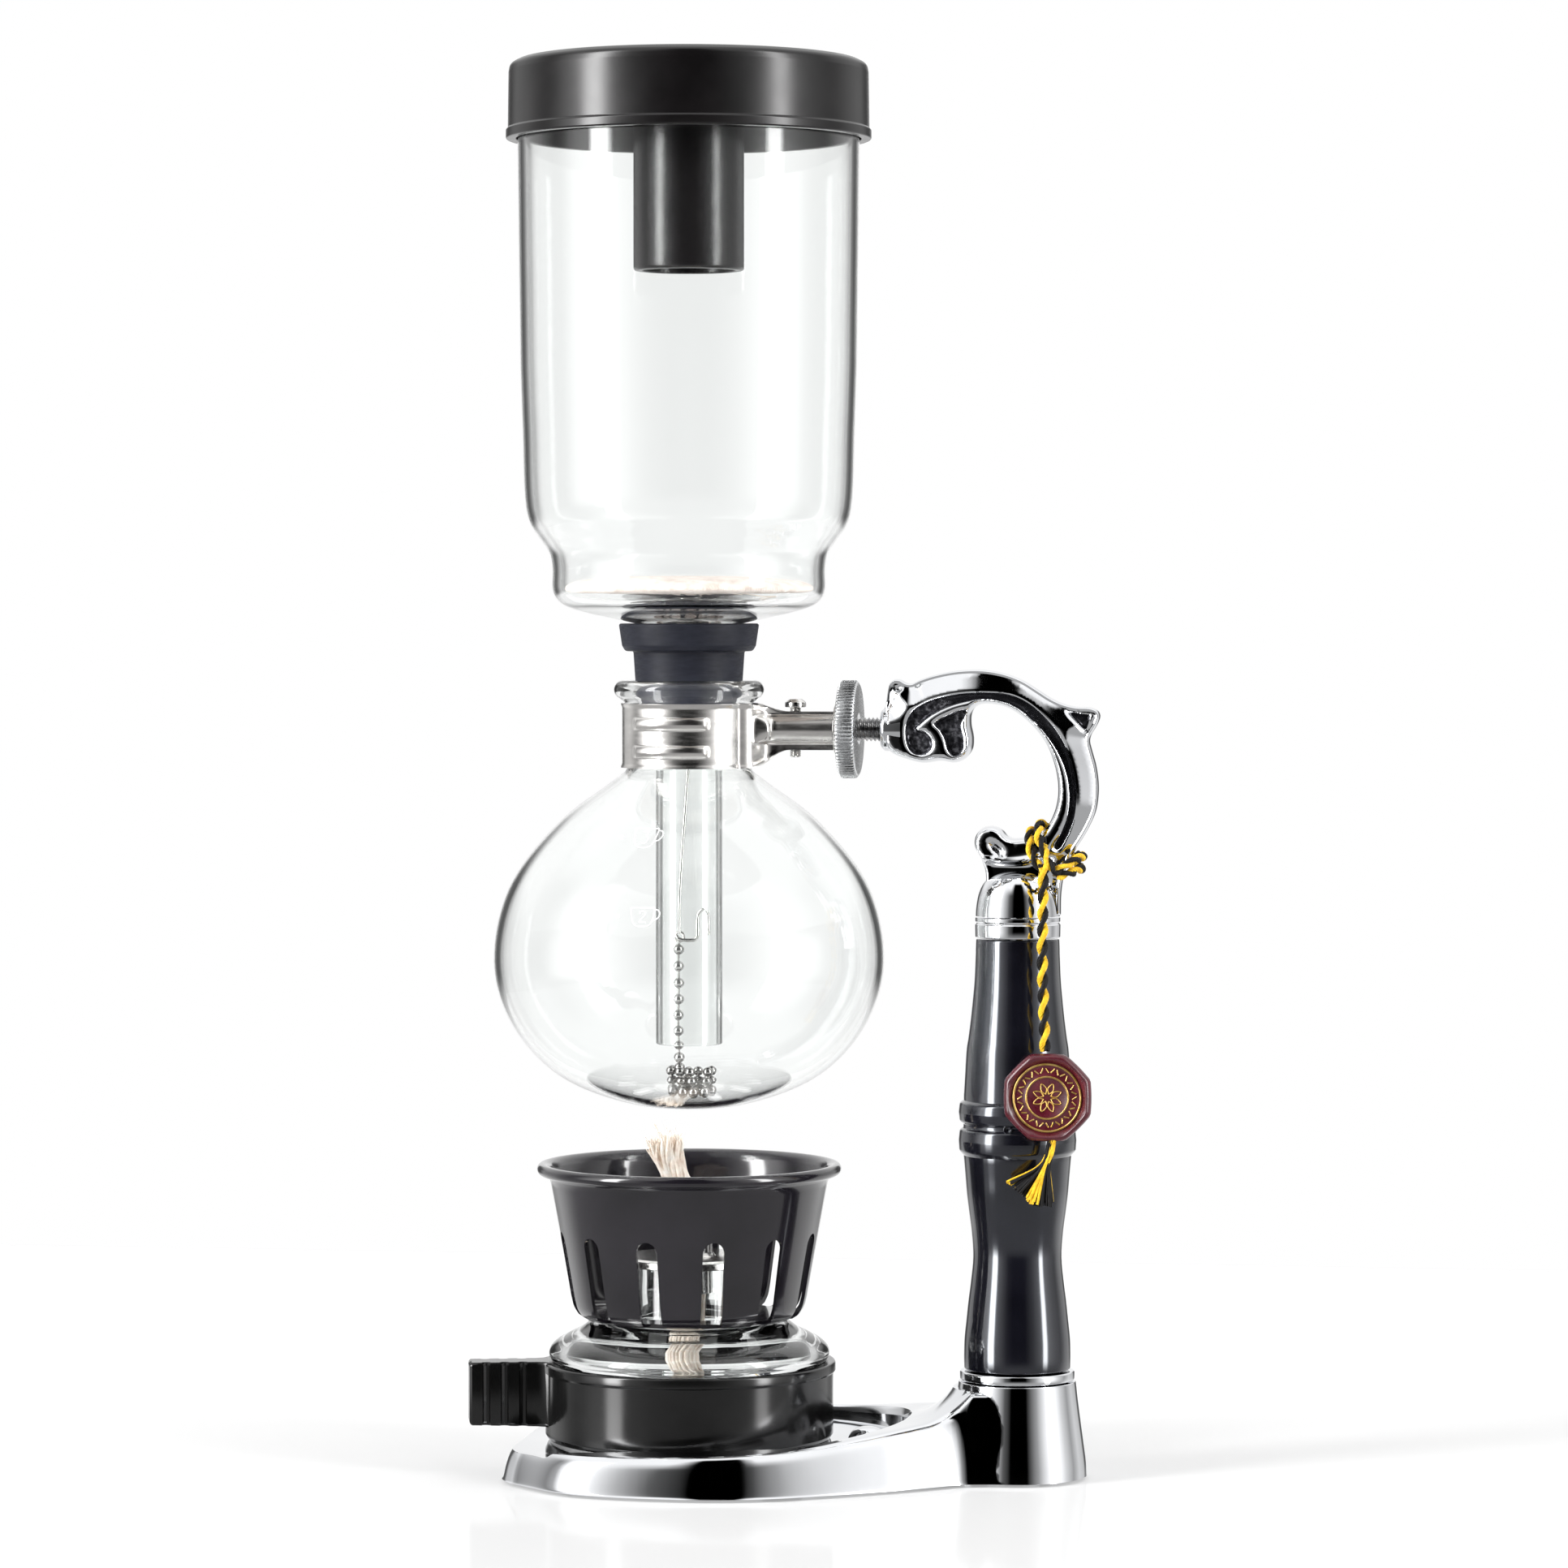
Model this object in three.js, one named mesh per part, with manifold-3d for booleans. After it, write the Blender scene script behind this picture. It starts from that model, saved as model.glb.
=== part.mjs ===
// Three-cup tabletop siphon coffee maker with an alcohol lamp.
// Millimetres, +Z up. The origin is on the table, under the middle of the object.
// Inside the assembly group, X and Y are counted from the axis that the flask, chamber and lamp share,
// and the handle stands on +X.
import * as THREE from 'three';
import { mergeVertices } from 'three/addons/utils/BufferGeometryUtils.js';
import Module from 'manifold-3d';

const wasm = await Module();
wasm.setup();

// ---- driving dimensions ----
const FLASK_AXIS_X = -23.27;       // flask axis, from the object's middle
const HANDLE_X = 81.4;             // handle axis, from the flask axis
const STUD_Z = 183.5;              // height of the clamp stud
const GAP = 0.3;                   // clearance between touching pieces
const ROUND = 20;                  // facets round a turned piece

const LID_TOP = 347.5;
const LID_BOTTOM = 328.2;
const LID_RADIUS = 44.4;
const LID_PLATE_UNDERSIDE = 344.9;
const SOCKET_RADIUS = 13.6;        // the tube in the lid that holds the stem on the table
const SOCKET_BOTTOM = 296;

const CHAMBER_RADIUS = 42;
const CHAMBER_RIM = LID_PLATE_UNDERSIDE - GAP;
const CHAMBER_WALL = 1.9;
const STEM_RADIUS = 8.2;
const STEM_WALL = 1.4;
const STEM_BOTTOM = 105.6;

const NECK_RADIUS = 15.4;
const NECK_BORE = 13.8;
const LIP_TOP = 195.4;
const FLASK_WALL = 1.6;
const FLASK_BOTTOM = 90;

const BAND_BOTTOM = 174;
const BAND_TOP = 189.4;
const BAND_RADIUS = 16.5;
const BAND_SHEET = 0.75;
const ARM_START_X = 16;
const ARM_END_X = 36.2;

const STUD_RADIUS = 3;
const BORE = STUD_RADIUS + GAP;    // hole for the stud, and for the tie rod
const NUT_RADIUS = 12;
const NUT_THICKNESS = 4.6;

const LAMP_END_X = -43;            // cut-off end of the casting, where the lamp slides out
const BOSS_RADIUS = 17;            // round end of the casting's plan, under the handle
const BASE_RIM_Z = 0.8;            // the casting's lower edge; the feet reach the table
const BOSS_TOP = 24;
const POCKET_FLOOR = 8;
const POCKET_HALF_WIDTH = 38.4;
const POCKET_END_X = 16;           // centre of the channel's round end
const HUMP_X = 44.5;               // low hump that stops the lamp
const HOLLOW_CEILING = 4.5;

const SCROLL_THICKNESS = 10.4;
const GRIP_BOTTOM = 26.9;
const GRIP_TOP = 132.4;
const FERRULE_TOP = 137.7;

const HOLDER_RADIUS = 36;
const HOLDER_BOTTOM = POCKET_FLOOR + GAP;
const HOLDER_TOP = 27.4;
const GUARD_BOTTOM = 38.2;
const GUARD_RIM_Z = 75;
const GUARD_SHEET = 0.9;
const SLOT_COUNT = 12;
const SLOT_WIDTH = 5.3;
const SLOT_FOOT_Z = 36;            // under the guard's floor, so the slots run out at its foot
const SLOT_ARCH_Z = 57.2;          // centre of each slot's round top
const SLOT_TURN = -0.175;          // radians, as the slots stand in the photo
const SLOT_INNER = 22.5;
const SLOT_REACH = 20;
const TAB_TURN = 0.239;            // radians that the lamp's pull tab is turned towards the front
const WICK_RADIUS = 4.4;

const CORD_DIAMETER = 3.6;

// ---- geometry helpers ----
const vec2 = (pair) => new THREE.Vector2(pair[0], pair[1]);
const points2 = (pairs) => pairs.map(vec2);

// Smooth run of points through the given ones.
function smooth(pairs, divisions) {
  return new THREE.SplineCurve(points2(pairs)).getPoints(divisions);
}

// The same profile moved sideways, to the left of its direction of travel.
function offset(profile, distance) {
  return profile.map((point, i) => {
    const before = profile[Math.max(i - 1, 0)];
    const after = profile[Math.min(i + 1, profile.length - 1)];
    const travel = after.clone().sub(before).normalize();
    return new THREE.Vector2(point.x - travel.y * distance, point.y + travel.x * distance);
  });
}

// Turns the faces outward, whichever way the outline ran.
function outward(geometry) {
  const bare = new THREE.BufferGeometry();
  bare.setAttribute('position', geometry.getAttribute('position').clone());
  if (geometry.index) bare.setIndex(geometry.index.clone());
  const merged = mergeVertices(bare, 1e-4);
  const position = merged.getAttribute('position');
  const corner = [0, 1, 2].map(() => new THREE.Vector3());
  const kept = [];
  let volume = 0;
  for (let i = 0; i < merged.index.count; i += 3) {
    const ids = [0, 1, 2].map((k) => merged.index.getX(i + k));
    if (ids[0] === ids[1] || ids[1] === ids[2] || ids[2] === ids[0]) continue;
    ids.forEach((id, k) => corner[k].fromBufferAttribute(position, id));
    volume += corner[0].dot(corner[1].clone().cross(corner[2]));
    kept.push(ids);
  }
  merged.setIndex(kept.flatMap(([a, b, c]) => (volume < 0 ? [a, c, b] : [a, b, c])));
  return merged;
}

function toSolid(geometry) {
  const closed = outward(geometry);
  return new wasm.Manifold(new wasm.Mesh({
    numProp: 3,
    vertProperties: new Float32Array(closed.getAttribute('position').array),
    triVerts: new Uint32Array(closed.index.array),
  }));
}

function toGeometry(solid) {
  const mesh = solid.getMesh();
  const geometry = new THREE.BufferGeometry();
  geometry.setAttribute('position', new THREE.BufferAttribute(mesh.vertProperties, 3));
  geometry.setIndex(new THREE.BufferAttribute(mesh.triVerts, 1));
  return geometry;
}

const cut = (body, ...tools) => toGeometry(tools.reduce((s, t) => s.subtract(toSolid(t)), toSolid(body)));
const join = (body, ...more) => toGeometry(more.reduce((s, m) => s.add(toSolid(m)), toSolid(body)));

// A piece turned about +Z, from a profile of radius and height.
function turned(profile, facets = ROUND) {
  const lathe = new THREE.LatheGeometry(profile, facets);
  lathe.rotateX(Math.PI / 2);
  return outward(lathe);
}

// A turned ring with straight walls.
function ring(inner, outer, bottom, top, facets = ROUND) {
  return turned(points2([[inner, bottom], [outer, bottom], [outer, top], [inner, top], [inner, bottom]]), facets);
}

// A solid round bar along +Z.
function bar(radius, bottom, top, facets = ROUND) {
  return turned(points2([[0, bottom], [radius, bottom], [radius, top], [0, top]]), facets);
}

// Lays a piece made along +Z down along +X, on the stud's axis.
function alongStud(geometry) {
  geometry.rotateY(Math.PI / 2);
  geometry.translate(0, 0, STUD_Z);
  return geometry;
}

function box(low, high) {
  const size = high.map((value, i) => value - low[i]);
  const geometry = new THREE.BoxGeometry(...size);
  geometry.translate(...low.map((value, i) => value + size[i] / 2));
  return geometry;
}

// A flat outline in X and Z, thickened equally to both sides of Y = 0.
function slab(shape, thickness, bevel = 0) {
  const geometry = new THREE.ExtrudeGeometry(shape, {
    depth: thickness - 2 * bevel, bevelEnabled: bevel > 0, bevelThickness: bevel,
    bevelSize: bevel, bevelOffset: -bevel, bevelSegments: 1, steps: 1, curveSegments: 2,
  });
  geometry.translate(0, 0, bevel - thickness / 2);
  geometry.rotateX(Math.PI / 2);
  return geometry;
}

// A round bar along a curve.
function rod(curve, radius, sides, steps) {
  const section = new THREE.Shape();
  section.absarc(0, 0, radius, 0, 2 * Math.PI);
  return outward(new THREE.ExtrudeGeometry(section, {
    steps, extrudePath: curve, curveSegments: sides / 2, bevelEnabled: false,
  }));
}

const spline3 = (triples, closed = false) => new THREE.CatmullRomCurve3(
  triples.map((triple) => new THREE.Vector3(...triple)), closed, 'centripetal',
);

// Stacks rings of equal point count into one closed solid.
function loft(rings) {
  const count = rings[0].length;
  const positions = rings.flat().flatMap((p) => [p.x, p.y, p.z]);
  const index = [];
  for (let level = 0; level + 1 < rings.length; level += 1) {
    for (let i = 0; i < count; i += 1) {
      const next = (i + 1) % count;
      const [a, b] = [level * count + i, level * count + next];
      index.push(a, b, b + count, a, b + count, a + count);
    }
  }
  const cap = (level, flip) => {
    const flat = rings[level].map((p) => new THREE.Vector2(p.x, p.y));
    for (const [a, b, c] of THREE.ShapeUtils.triangulateShape(flat, [])) {
      const face = flip ? [c, b, a] : [a, b, c];
      index.push(...face.map((id) => id + level * count));
    }
  };
  cap(0, true);
  cap(rings.length - 1, false);
  const geometry = new THREE.BufferGeometry();
  geometry.setAttribute('position', new THREE.Float32BufferAttribute(positions, 3));
  geometry.setIndex(index);
  return outward(geometry);
}

// ---- looks ----
const LOOKS = {
  chrome: { color: 0xdfe3e6, roughness: 0.06, metalness: 1 },
  stainless: { color: 0xb9bab8, roughness: 0.28, metalness: 1 },
  zinc: { color: 0x8f9396, roughness: 0.4, metalness: 1 },
  blackPlastic: { color: 0x0c0c0d, roughness: 0.18, metalness: 0 },
  moulded: { color: 0x101011, roughness: 0.4, metalness: 0 },
  lacquer: { color: 0x0a0a0c, roughness: 0.08, metalness: 0.2 },
  enamel: { color: 0x0d0d0e, roughness: 0.16, metalness: 0.3 },
  rubber: { color: 0x161617, roughness: 0.75, metalness: 0 },
  glass: { color: 0xf4f8f7, roughness: 0.02, metalness: 0, transparent: true, opacity: 0.3 },
  cotton: { color: 0xe6d3bb, roughness: 0.95, metalness: 0 },
  cord: { color: 0xd9a21b, roughness: 0.8, metalness: 0 },
  wax: { color: 0x6a1526, roughness: 0.35, metalness: 0 },
};

const assembly = new THREE.Group();
assembly.position.x = FLASK_AXIS_X;
const handle = new THREE.Group();
handle.position.x = HANDLE_X;
assembly.add(handle);

function piece(name, geometry, look, parent = assembly) {
  const mesh = new THREE.Mesh(geometry, new THREE.MeshStandardMaterial(LOOKS[look]));
  mesh.name = name;
  parent.add(mesh);
}

// ---- base ----
// Half of the casting's plan, from the cut-off lamp end to the boss under the handle.
function basePlan(inset) {
  const half = new THREE.Path();
  half.moveTo(LAMP_END_X, 0);
  half.lineTo(LAMP_END_X, -20);
  half.quadraticCurveTo(LAMP_END_X, -26.5, -38.5, -32.5);
  half.splineThru(points2([[-22, -46.4], [4, -51], [24, -48], [53, -31.6], [70, -18.4]]));
  half.quadraticCurveTo(75.5, -BOSS_RADIUS, HANDLE_X, -BOSS_RADIUS);
  half.absarc(HANDLE_X, 0, BOSS_RADIUS, -Math.PI / 2, 0, false);
  const near = half.getPoints(3);
  const far = near.slice(1, -1).reverse().map((p) => new THREE.Vector2(p.x, -p.y));
  const loop = [...near, ...far];
  return loop.map((p, i) => {
    const before = loop[(i + loop.length - 1) % loop.length];
    const after = loop[(i + 1) % loop.length];
    const travel = after.clone().sub(before).normalize();
    return new THREE.Vector2(p.x - travel.y * inset, p.y + travel.x * inset);
  });
}

// Height of the casting's upper face: low at the lamp end, rising towards the handle.
function baseTop(x) {
  const along = THREE.MathUtils.clamp((x - LAMP_END_X) / (HANDLE_X - LAMP_END_X), 0, 1);
  return 9 + 4.2 * along + 4.5 * THREE.MathUtils.smoothstep(along, 0.55, 1);
}

function baseRing(inset, share) {
  return basePlan(inset).map((p) => {
    const z = BASE_RIM_Z + (baseTop(p.x) - BASE_RIM_Z) * share;
    return new THREE.Vector3(p.x, p.y, z);
  });
}

function baseCasting() {
  const levels = [[0, 0], [0.8, 0.35], [1.9, 0.7], [3.2, 0.92], [5, 1]];
  const body = loft(levels.map(([inset, share]) => baseRing(inset, share)));
  const boss = turned(points2([[0, BASE_RIM_Z], [16.9, BASE_RIM_Z], [15.6, 14], [14.3, BOSS_TOP], [0, BOSS_TOP]]));
  boss.translate(HANDLE_X, 0, 0);

  // Straight-sided channel with a round end: the lamp slides out of its open side.
  const channel = new THREE.Shape();
  channel.moveTo(-60, -POCKET_HALF_WIDTH);
  channel.lineTo(POCKET_END_X, -POCKET_HALF_WIDTH);
  channel.absarc(POCKET_END_X, 0, POCKET_HALF_WIDTH, -Math.PI / 2, Math.PI / 2, false);
  channel.lineTo(-60, POCKET_HALF_WIDTH);
  channel.closePath();
  const pocket = new THREE.ExtrudeGeometry(channel, { depth: 20, bevelEnabled: false, curveSegments: 12 });
  pocket.translate(0, 0, POCKET_FLOOR);

  // The casting is hollow underneath, except round the tie rod.
  const hollow = loft([
    basePlan(6).map((p) => new THREE.Vector3(p.x, p.y, 0)),
    basePlan(6.5).map((p) => new THREE.Vector3(p.x, p.y, HOLLOW_CEILING)),
  ]);
  const nutSeat = bar(9, 0, 7.2);
  nutSeat.translate(HANDLE_X, 0, 0);
  const rodHole = bar(BORE, 0, BOSS_TOP + 1, 16);
  rodHole.translate(HANDLE_X, 0, 0);

  // Low hump on the pocket's floor that stops the lamp.
  const hump = turned(points2([[0, 6], [5, 6], [5, 9.6], [3.6, 11.2], [0, 11.8]]), 16);
  hump.translate(HUMP_X, 0, 0);
  const open = toSolid(join(body, boss)).subtract(toSolid(pocket)).add(toSolid(hump));
  return toGeometry([hollow, nutSeat, rodHole].reduce((s, t) => s.subtract(toSolid(t)), open));
}
piece('base_casting', baseCasting(), 'chrome');

const FOOT_PLACES = [[-31, -20], [-31, 20], [28, -33], [28, 33], [62, 0]];
FOOT_PLACES.forEach(([x, y], i) => {
  const foot = turned(points2([[0, 0], [4.6, 0], [5, 0.6], [5, HOLLOW_CEILING - GAP], [0, HOLLOW_CEILING - GAP]]), 16);
  foot.translate(x, y, 0);
  piece(`rubber_foot_${i + 1}`, foot, 'rubber');
});

// ---- handle ----
function gripProfile() {
  const rounded = (z, radius, reach) => [[radius - 0.6, z - reach], [radius, z], [radius - 0.6, z + reach]];
  return [
    [BORE, GRIP_BOTTOM], [13, GRIP_BOTTOM], [13, 34], [12, 43.7], [10.8, 54.4], [11.3, 61], [12.8, 74.6], [13.2, 79.6],
    ...rounded(83, 14.3, 2.4), [13.3, 86.6], ...rounded(90, 14.3, 2.3), [13.2, 93.4],
    [12.5, 105.5], [11, 117.5], [10.3, 127], [10.2, GRIP_TOP], [BORE, GRIP_TOP], [BORE, GRIP_BOTTOM],
  ];
}
piece('handle_grip', turned(points2(gripProfile())), 'lacquer', handle);
piece('lower_collar', ring(BORE, 14, BOSS_TOP + GAP, GRIP_BOTTOM - GAP), 'chrome', handle);
piece('upper_ferrule', ring(BORE, 10.4, GRIP_TOP + GAP, FERRULE_TOP), 'chrome', handle);
piece('tie_rod', bar(STUD_RADIUS, 1.4, 145, 12), 'zinc', handle);
piece('tie_rod_washer', ring(BORE, 7, 6.1, 6.9, 16), 'zinc', handle);
piece('tie_rod_nut', cut(bar(5.8, 1.8, 5.8, 6), bar(BORE, 1, 7, 12)), 'zinc', handle);

// ---- scroll arm ----
function scrollOutline() {
  const edge = new THREE.Shape();
  edge.moveTo(71.2, 138);
  edge.lineTo(91.6, 138);
  edge.splineThru(points2([[92, 147], [94.8, 155.4], [99.4, 165.3], [100, 174], [98.4, 181.6]]));
  edge.lineTo(100.5, 187.6);
  edge.lineTo(99, 189.2);
  edge.splineThru(points2([[91.4, 190.8], [84.4, 194.4], [76, 197.8], [66, 197.9], [56.5, 194.4]]));
  edge.lineTo(54, 196);
  edge.lineTo(49.8, 195.4);
  edge.lineTo(48.3, 188.4);
  edge.lineTo(48.3, 178.6);
  edge.splineThru(points2([[52.5, 177], [57.8, 174.9], [62, 175.8], [66.5, 175], [70.6, 178.4], [70, 185]]));
  edge.splineThru(points2([[71.6, 189], [75.5, 189.4], [81.5, 187.3], [88, 181], [91.4, 171]]));
  edge.splineThru(points2([[90.4, 163], [86.5, 157.8], [81.5, 156]]));
  edge.absarc(76.2, 155.8, 4.9, 0.3, 3.9, false);
  edge.splineThru(points2([[73.4, 148], [71.2, 138]]));
  return edge;
}

function scrollArm() {
  const arm = slab(scrollOutline(), SCROLL_THICKNESS);
  const dome = turned(points2([[0, 138], [10.3, 138], [10, 142], [8.2, 146.5], [5, 149], [0, 149.4]]));
  dome.translate(HANDLE_X, 0, 0);
  const boss = alongStud(bar(5.4, 48.2, 56, 16));
  const studHole = alongStud(bar(BORE, 40, 52.6, 16));
  const rodHole = bar(BORE, 130, 145.4, 16);
  rodHole.translate(HANDLE_X, 0, 0);
  return cut(join(arm, dome, boss), studHole, rodHole);
}
piece('scroll_arm', scrollArm(), 'chrome');

// ---- clamp ----
piece('clamp_stud', alongStud(bar(STUD_RADIUS, 29, 52.2, 16)), 'stainless');
piece('thrust_washer', alongStud(ring(BORE, 6.4, ARM_END_X + GAP, ARM_END_X + 1.1, 16)), 'stainless');
const NUT_X = ARM_END_X + 1.1 + GAP;
const nutProfile = [
  [BORE, NUT_X], [NUT_RADIUS - 0.6, NUT_X], [NUT_RADIUS, NUT_X + 0.5], [NUT_RADIUS, NUT_X + NUT_THICKNESS - 0.5],
  [NUT_RADIUS - 0.6, NUT_X + NUT_THICKNESS], [BORE, NUT_X + NUT_THICKNESS], [BORE, NUT_X],
];
piece('thumb_nut', alongStud(turned(points2(nutProfile), 36)), 'stainless');

// Cross-section of one arm of the band: two flats and a half-round channel that wraps the stud.
function armSection(side) {
  const flat = 1.75;
  const halfHeight = 5.1;
  const wrap = STUD_RADIUS + 0.35;
  const arc = (radius, from, steps = 6) => {
    const reach = Math.acos(from / radius);
    const angles = Array.from({ length: steps + 1 }, (_, i) => reach * (2 * i / steps - 1));
    return angles.map((angle) => [radius * Math.cos(angle), radius * Math.sin(angle)]);
  };
  const inner = [[flat, -halfHeight], ...arc(wrap, flat), [flat, halfHeight]];
  const outerFlat = flat + BAND_SHEET;
  const outer = [[outerFlat, -halfHeight], ...arc(wrap + BAND_SHEET, outerFlat), [outerFlat, halfHeight]];
  return new THREE.Shape(points2([...inner, ...outer.reverse()].map(([y, z]) => [side * y, z])));
}

// Band round the neck whose two ends run out as arms and wrap the stud.
function neckBand() {
  const hoopAngle = 0.14;
  const hoop = new THREE.Shape();
  hoop.absarc(0, 0, BAND_RADIUS, hoopAngle, 2 * Math.PI - hoopAngle, false);
  hoop.absarc(0, 0, BAND_RADIUS - BAND_SHEET, 2 * Math.PI - hoopAngle, hoopAngle, true);
  const collar = new THREE.ExtrudeGeometry(hoop, {
    depth: BAND_TOP - BAND_BOTTOM, bevelEnabled: false, curveSegments: 20,
  });
  collar.translate(0, 0, BAND_BOTTOM);
  const arms = [1, -1].map((side) => {
    const arm = new THREE.ExtrudeGeometry(armSection(side), { depth: ARM_END_X - ARM_START_X, bevelEnabled: false });
    arm.rotateX(Math.PI / 2);
    arm.rotateZ(Math.PI / 2);
    arm.translate(ARM_START_X, 0, STUD_Z);
    return arm;
  });
  return join(collar, ...arms);
}
piece('neck_band', neckBand(), 'stainless');

function clampScrew() {
  const x = 26.5;
  const profile = [[0, 176.6], [1.4, 176.6], [1.4, 189.2], [2.2, 189.2], [2.2, 190.2], [1.5, 190.9], [0, 190.9]];
  const screw = turned(points2(profile), 12);
  screw.translate(x, 0, 0);
  return screw;
}
piece('clamp_screw', clampScrew(), 'stainless');

// ---- flask ----
function flaskProfile() {
  const bulb = smooth([
    [0, FLASK_BOTTOM], [15.6, 91.4], [32.8, 98.6], [43.6, 110.6], [48.1, 125], [44.5, 144.2], [31.6, 161], [18.4, 171],
    [NECK_RADIUS, 173.4],
  ], 13);
  const inner = offset(bulb, FLASK_WALL);
  inner[0].x = 0;
  const lip = points2([
    [NECK_RADIUS, 189.6], [17, 190.8], [18.3, 192], [18.4, 193.8], [17, LIP_TOP], [15.2, 195.1], [NECK_BORE, 192.6],
  ]);
  return [...bulb, ...lip, ...inner.reverse()];
}
piece('flask_glass', turned(flaskProfile()), 'glass');

// ---- upper chamber ----
function chamberProfile() {
  const outer = [
    ...points2([[CHAMBER_RADIUS, CHAMBER_RIM], [CHAMBER_RADIUS, 326], [41.4, 272]]),
    ...smooth([[40.9, 257], [40, 236], [36.9, 230], [33.8, 225.5], [33.6, 218], [31.2, 214.3]], 9),
    ...smooth([[17.6, 210.4], [10.4, 208.2], [STEM_RADIUS, 204]], 4),
    ...points2([[STEM_RADIUS, STEM_BOTTOM]]),
  ];
  const inner = offset(outer, -CHAMBER_WALL);
  inner[0].set(CHAMBER_RADIUS - CHAMBER_WALL, CHAMBER_RIM);
  inner.forEach((point) => {
    if (point.y < 206) point.x = STEM_RADIUS - STEM_WALL;
  });
  inner[inner.length - 1].y = STEM_BOTTOM;
  return [...outer, ...inner.reverse(), outer[0]];
}
piece('chamber_glass', turned(chamberProfile()), 'glass');

const stopperProfile = [
  [8.5, 202.6], [9.2, 205], [10.6, 207.2], [16.8, 209.5], [17.2, 209.2], [16.5, 204], [15.7, 202.6], [13.6, 202.6], [13.2, 195],
  [12.4, 181], [11.6, 180], [8.5, 180], [8.5, 202.6],
];
piece('rubber_stopper', turned(points2(stopperProfile)), 'rubber');

// ---- lid ----
const lidProfile = [
  [0, LID_TOP - 0.8], [38, LID_TOP - 0.8], [39, LID_TOP], [41.7, LID_TOP], [43.6, LID_TOP - 0.9], [44.2, LID_TOP - 3],
  [LID_RADIUS, LID_BOTTOM + 2.4], [LID_RADIUS + 0.3, LID_BOTTOM + 1.8], [LID_RADIUS + 0.3, LID_BOTTOM],
  [CHAMBER_RADIUS + 0.4, LID_BOTTOM], [CHAMBER_RADIUS + 0.4, LID_PLATE_UNDERSIDE],
  [SOCKET_RADIUS, LID_PLATE_UNDERSIDE], [SOCKET_RADIUS, SOCKET_BOTTOM + 1], [SOCKET_RADIUS - 0.8, SOCKET_BOTTOM],
  [SOCKET_RADIUS - 2.2, SOCKET_BOTTOM], [SOCKET_RADIUS - 2.2, LID_PLATE_UNDERSIDE - 0.4],
  [0, LID_PLATE_UNDERSIDE - 0.4],
];
piece('lid', turned(points2(lidProfile)), 'blackPlastic');

// ---- filter ----
const clothProfile = [
  [0, 221], [16, 220.8], [27, 220], [30.2, 218.9], [30.5, 217.9], [28.8, 216.9], [20, 215.2], [9.4, 214.4],
  [9.4, 215], [20, 215.9], [27.8, 217.4], [28.6, 218], [26.6, 219.3], [16, 220.2], [0, 220.4],
];
piece('filter_cloth', turned(points2(clothProfile)), 'cotton');
piece('filter_disc', bar(26, 217.5, 218.7), 'stainless');
const hubProfile = [[0, 212.8], [8, 212.8], [8, 213.9], [2.2, 214.2], [2.2, 217.2], [0, 217.2]];
piece('filter_hub', turned(points2(hubProfile), 16), 'stainless');

const SPRING = { radius: 3, wire: 0.45, bottom: 176, top: 212, turns: 7 };

class Helix extends THREE.Curve {
  getPoint(t, target = new THREE.Vector3()) {
    const angle = t * SPRING.turns * 2 * Math.PI;
    const height = SPRING.bottom + t * (SPRING.top - SPRING.bottom);
    return target.set(SPRING.radius * Math.cos(angle), SPRING.radius * Math.sin(angle), height);
  }
}
piece('filter_spring', rod(new Helix(), SPRING.wire, 4, SPRING.turns * 8), 'stainless');

const wirePath = spline3([
  [0, 0, 175.2], [0, 0, 165], [0.6, 0, 150], [0.4, 0, 138], [1.6, 0, 135.6], [4, 0, 136], [4.4, 0, 139], [3.9, 0, 141.5],
]);
piece('filter_wire', rod(wirePath, 0.6, 6, 24), 'stainless');

// Ball chain: beads on a wire, hanging from the hook's eye.
function beadChain() {
  const [beads, pitch, lowest] = [8, 4.07, 102];
  const profile = [[0, 100.4]];
  for (let i = 0; i < beads; i += 1) {
    const z = lowest + i * pitch;
    profile.push([0.45, z - 1.5], [1.15, z - 0.75], [1.4, z], [1.15, z + 0.75], [0.45, z + 1.5]);
  }
  profile.push([0, lowest + (beads - 1) * pitch + 1.8]);
  const chain = turned(points2(profile), 6);
  chain.translate(-2.7, 0, 0);
  return chain;
}
piece('bead_chain', beadChain(), 'chrome');
piece('bead_chain_end', turned(points2([[0, 92.2], [5.4, 92.7], [6.3, 94.4], [5.6, 97], [3, 99], [0, 99.6]]), 16), 'chrome');

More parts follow.
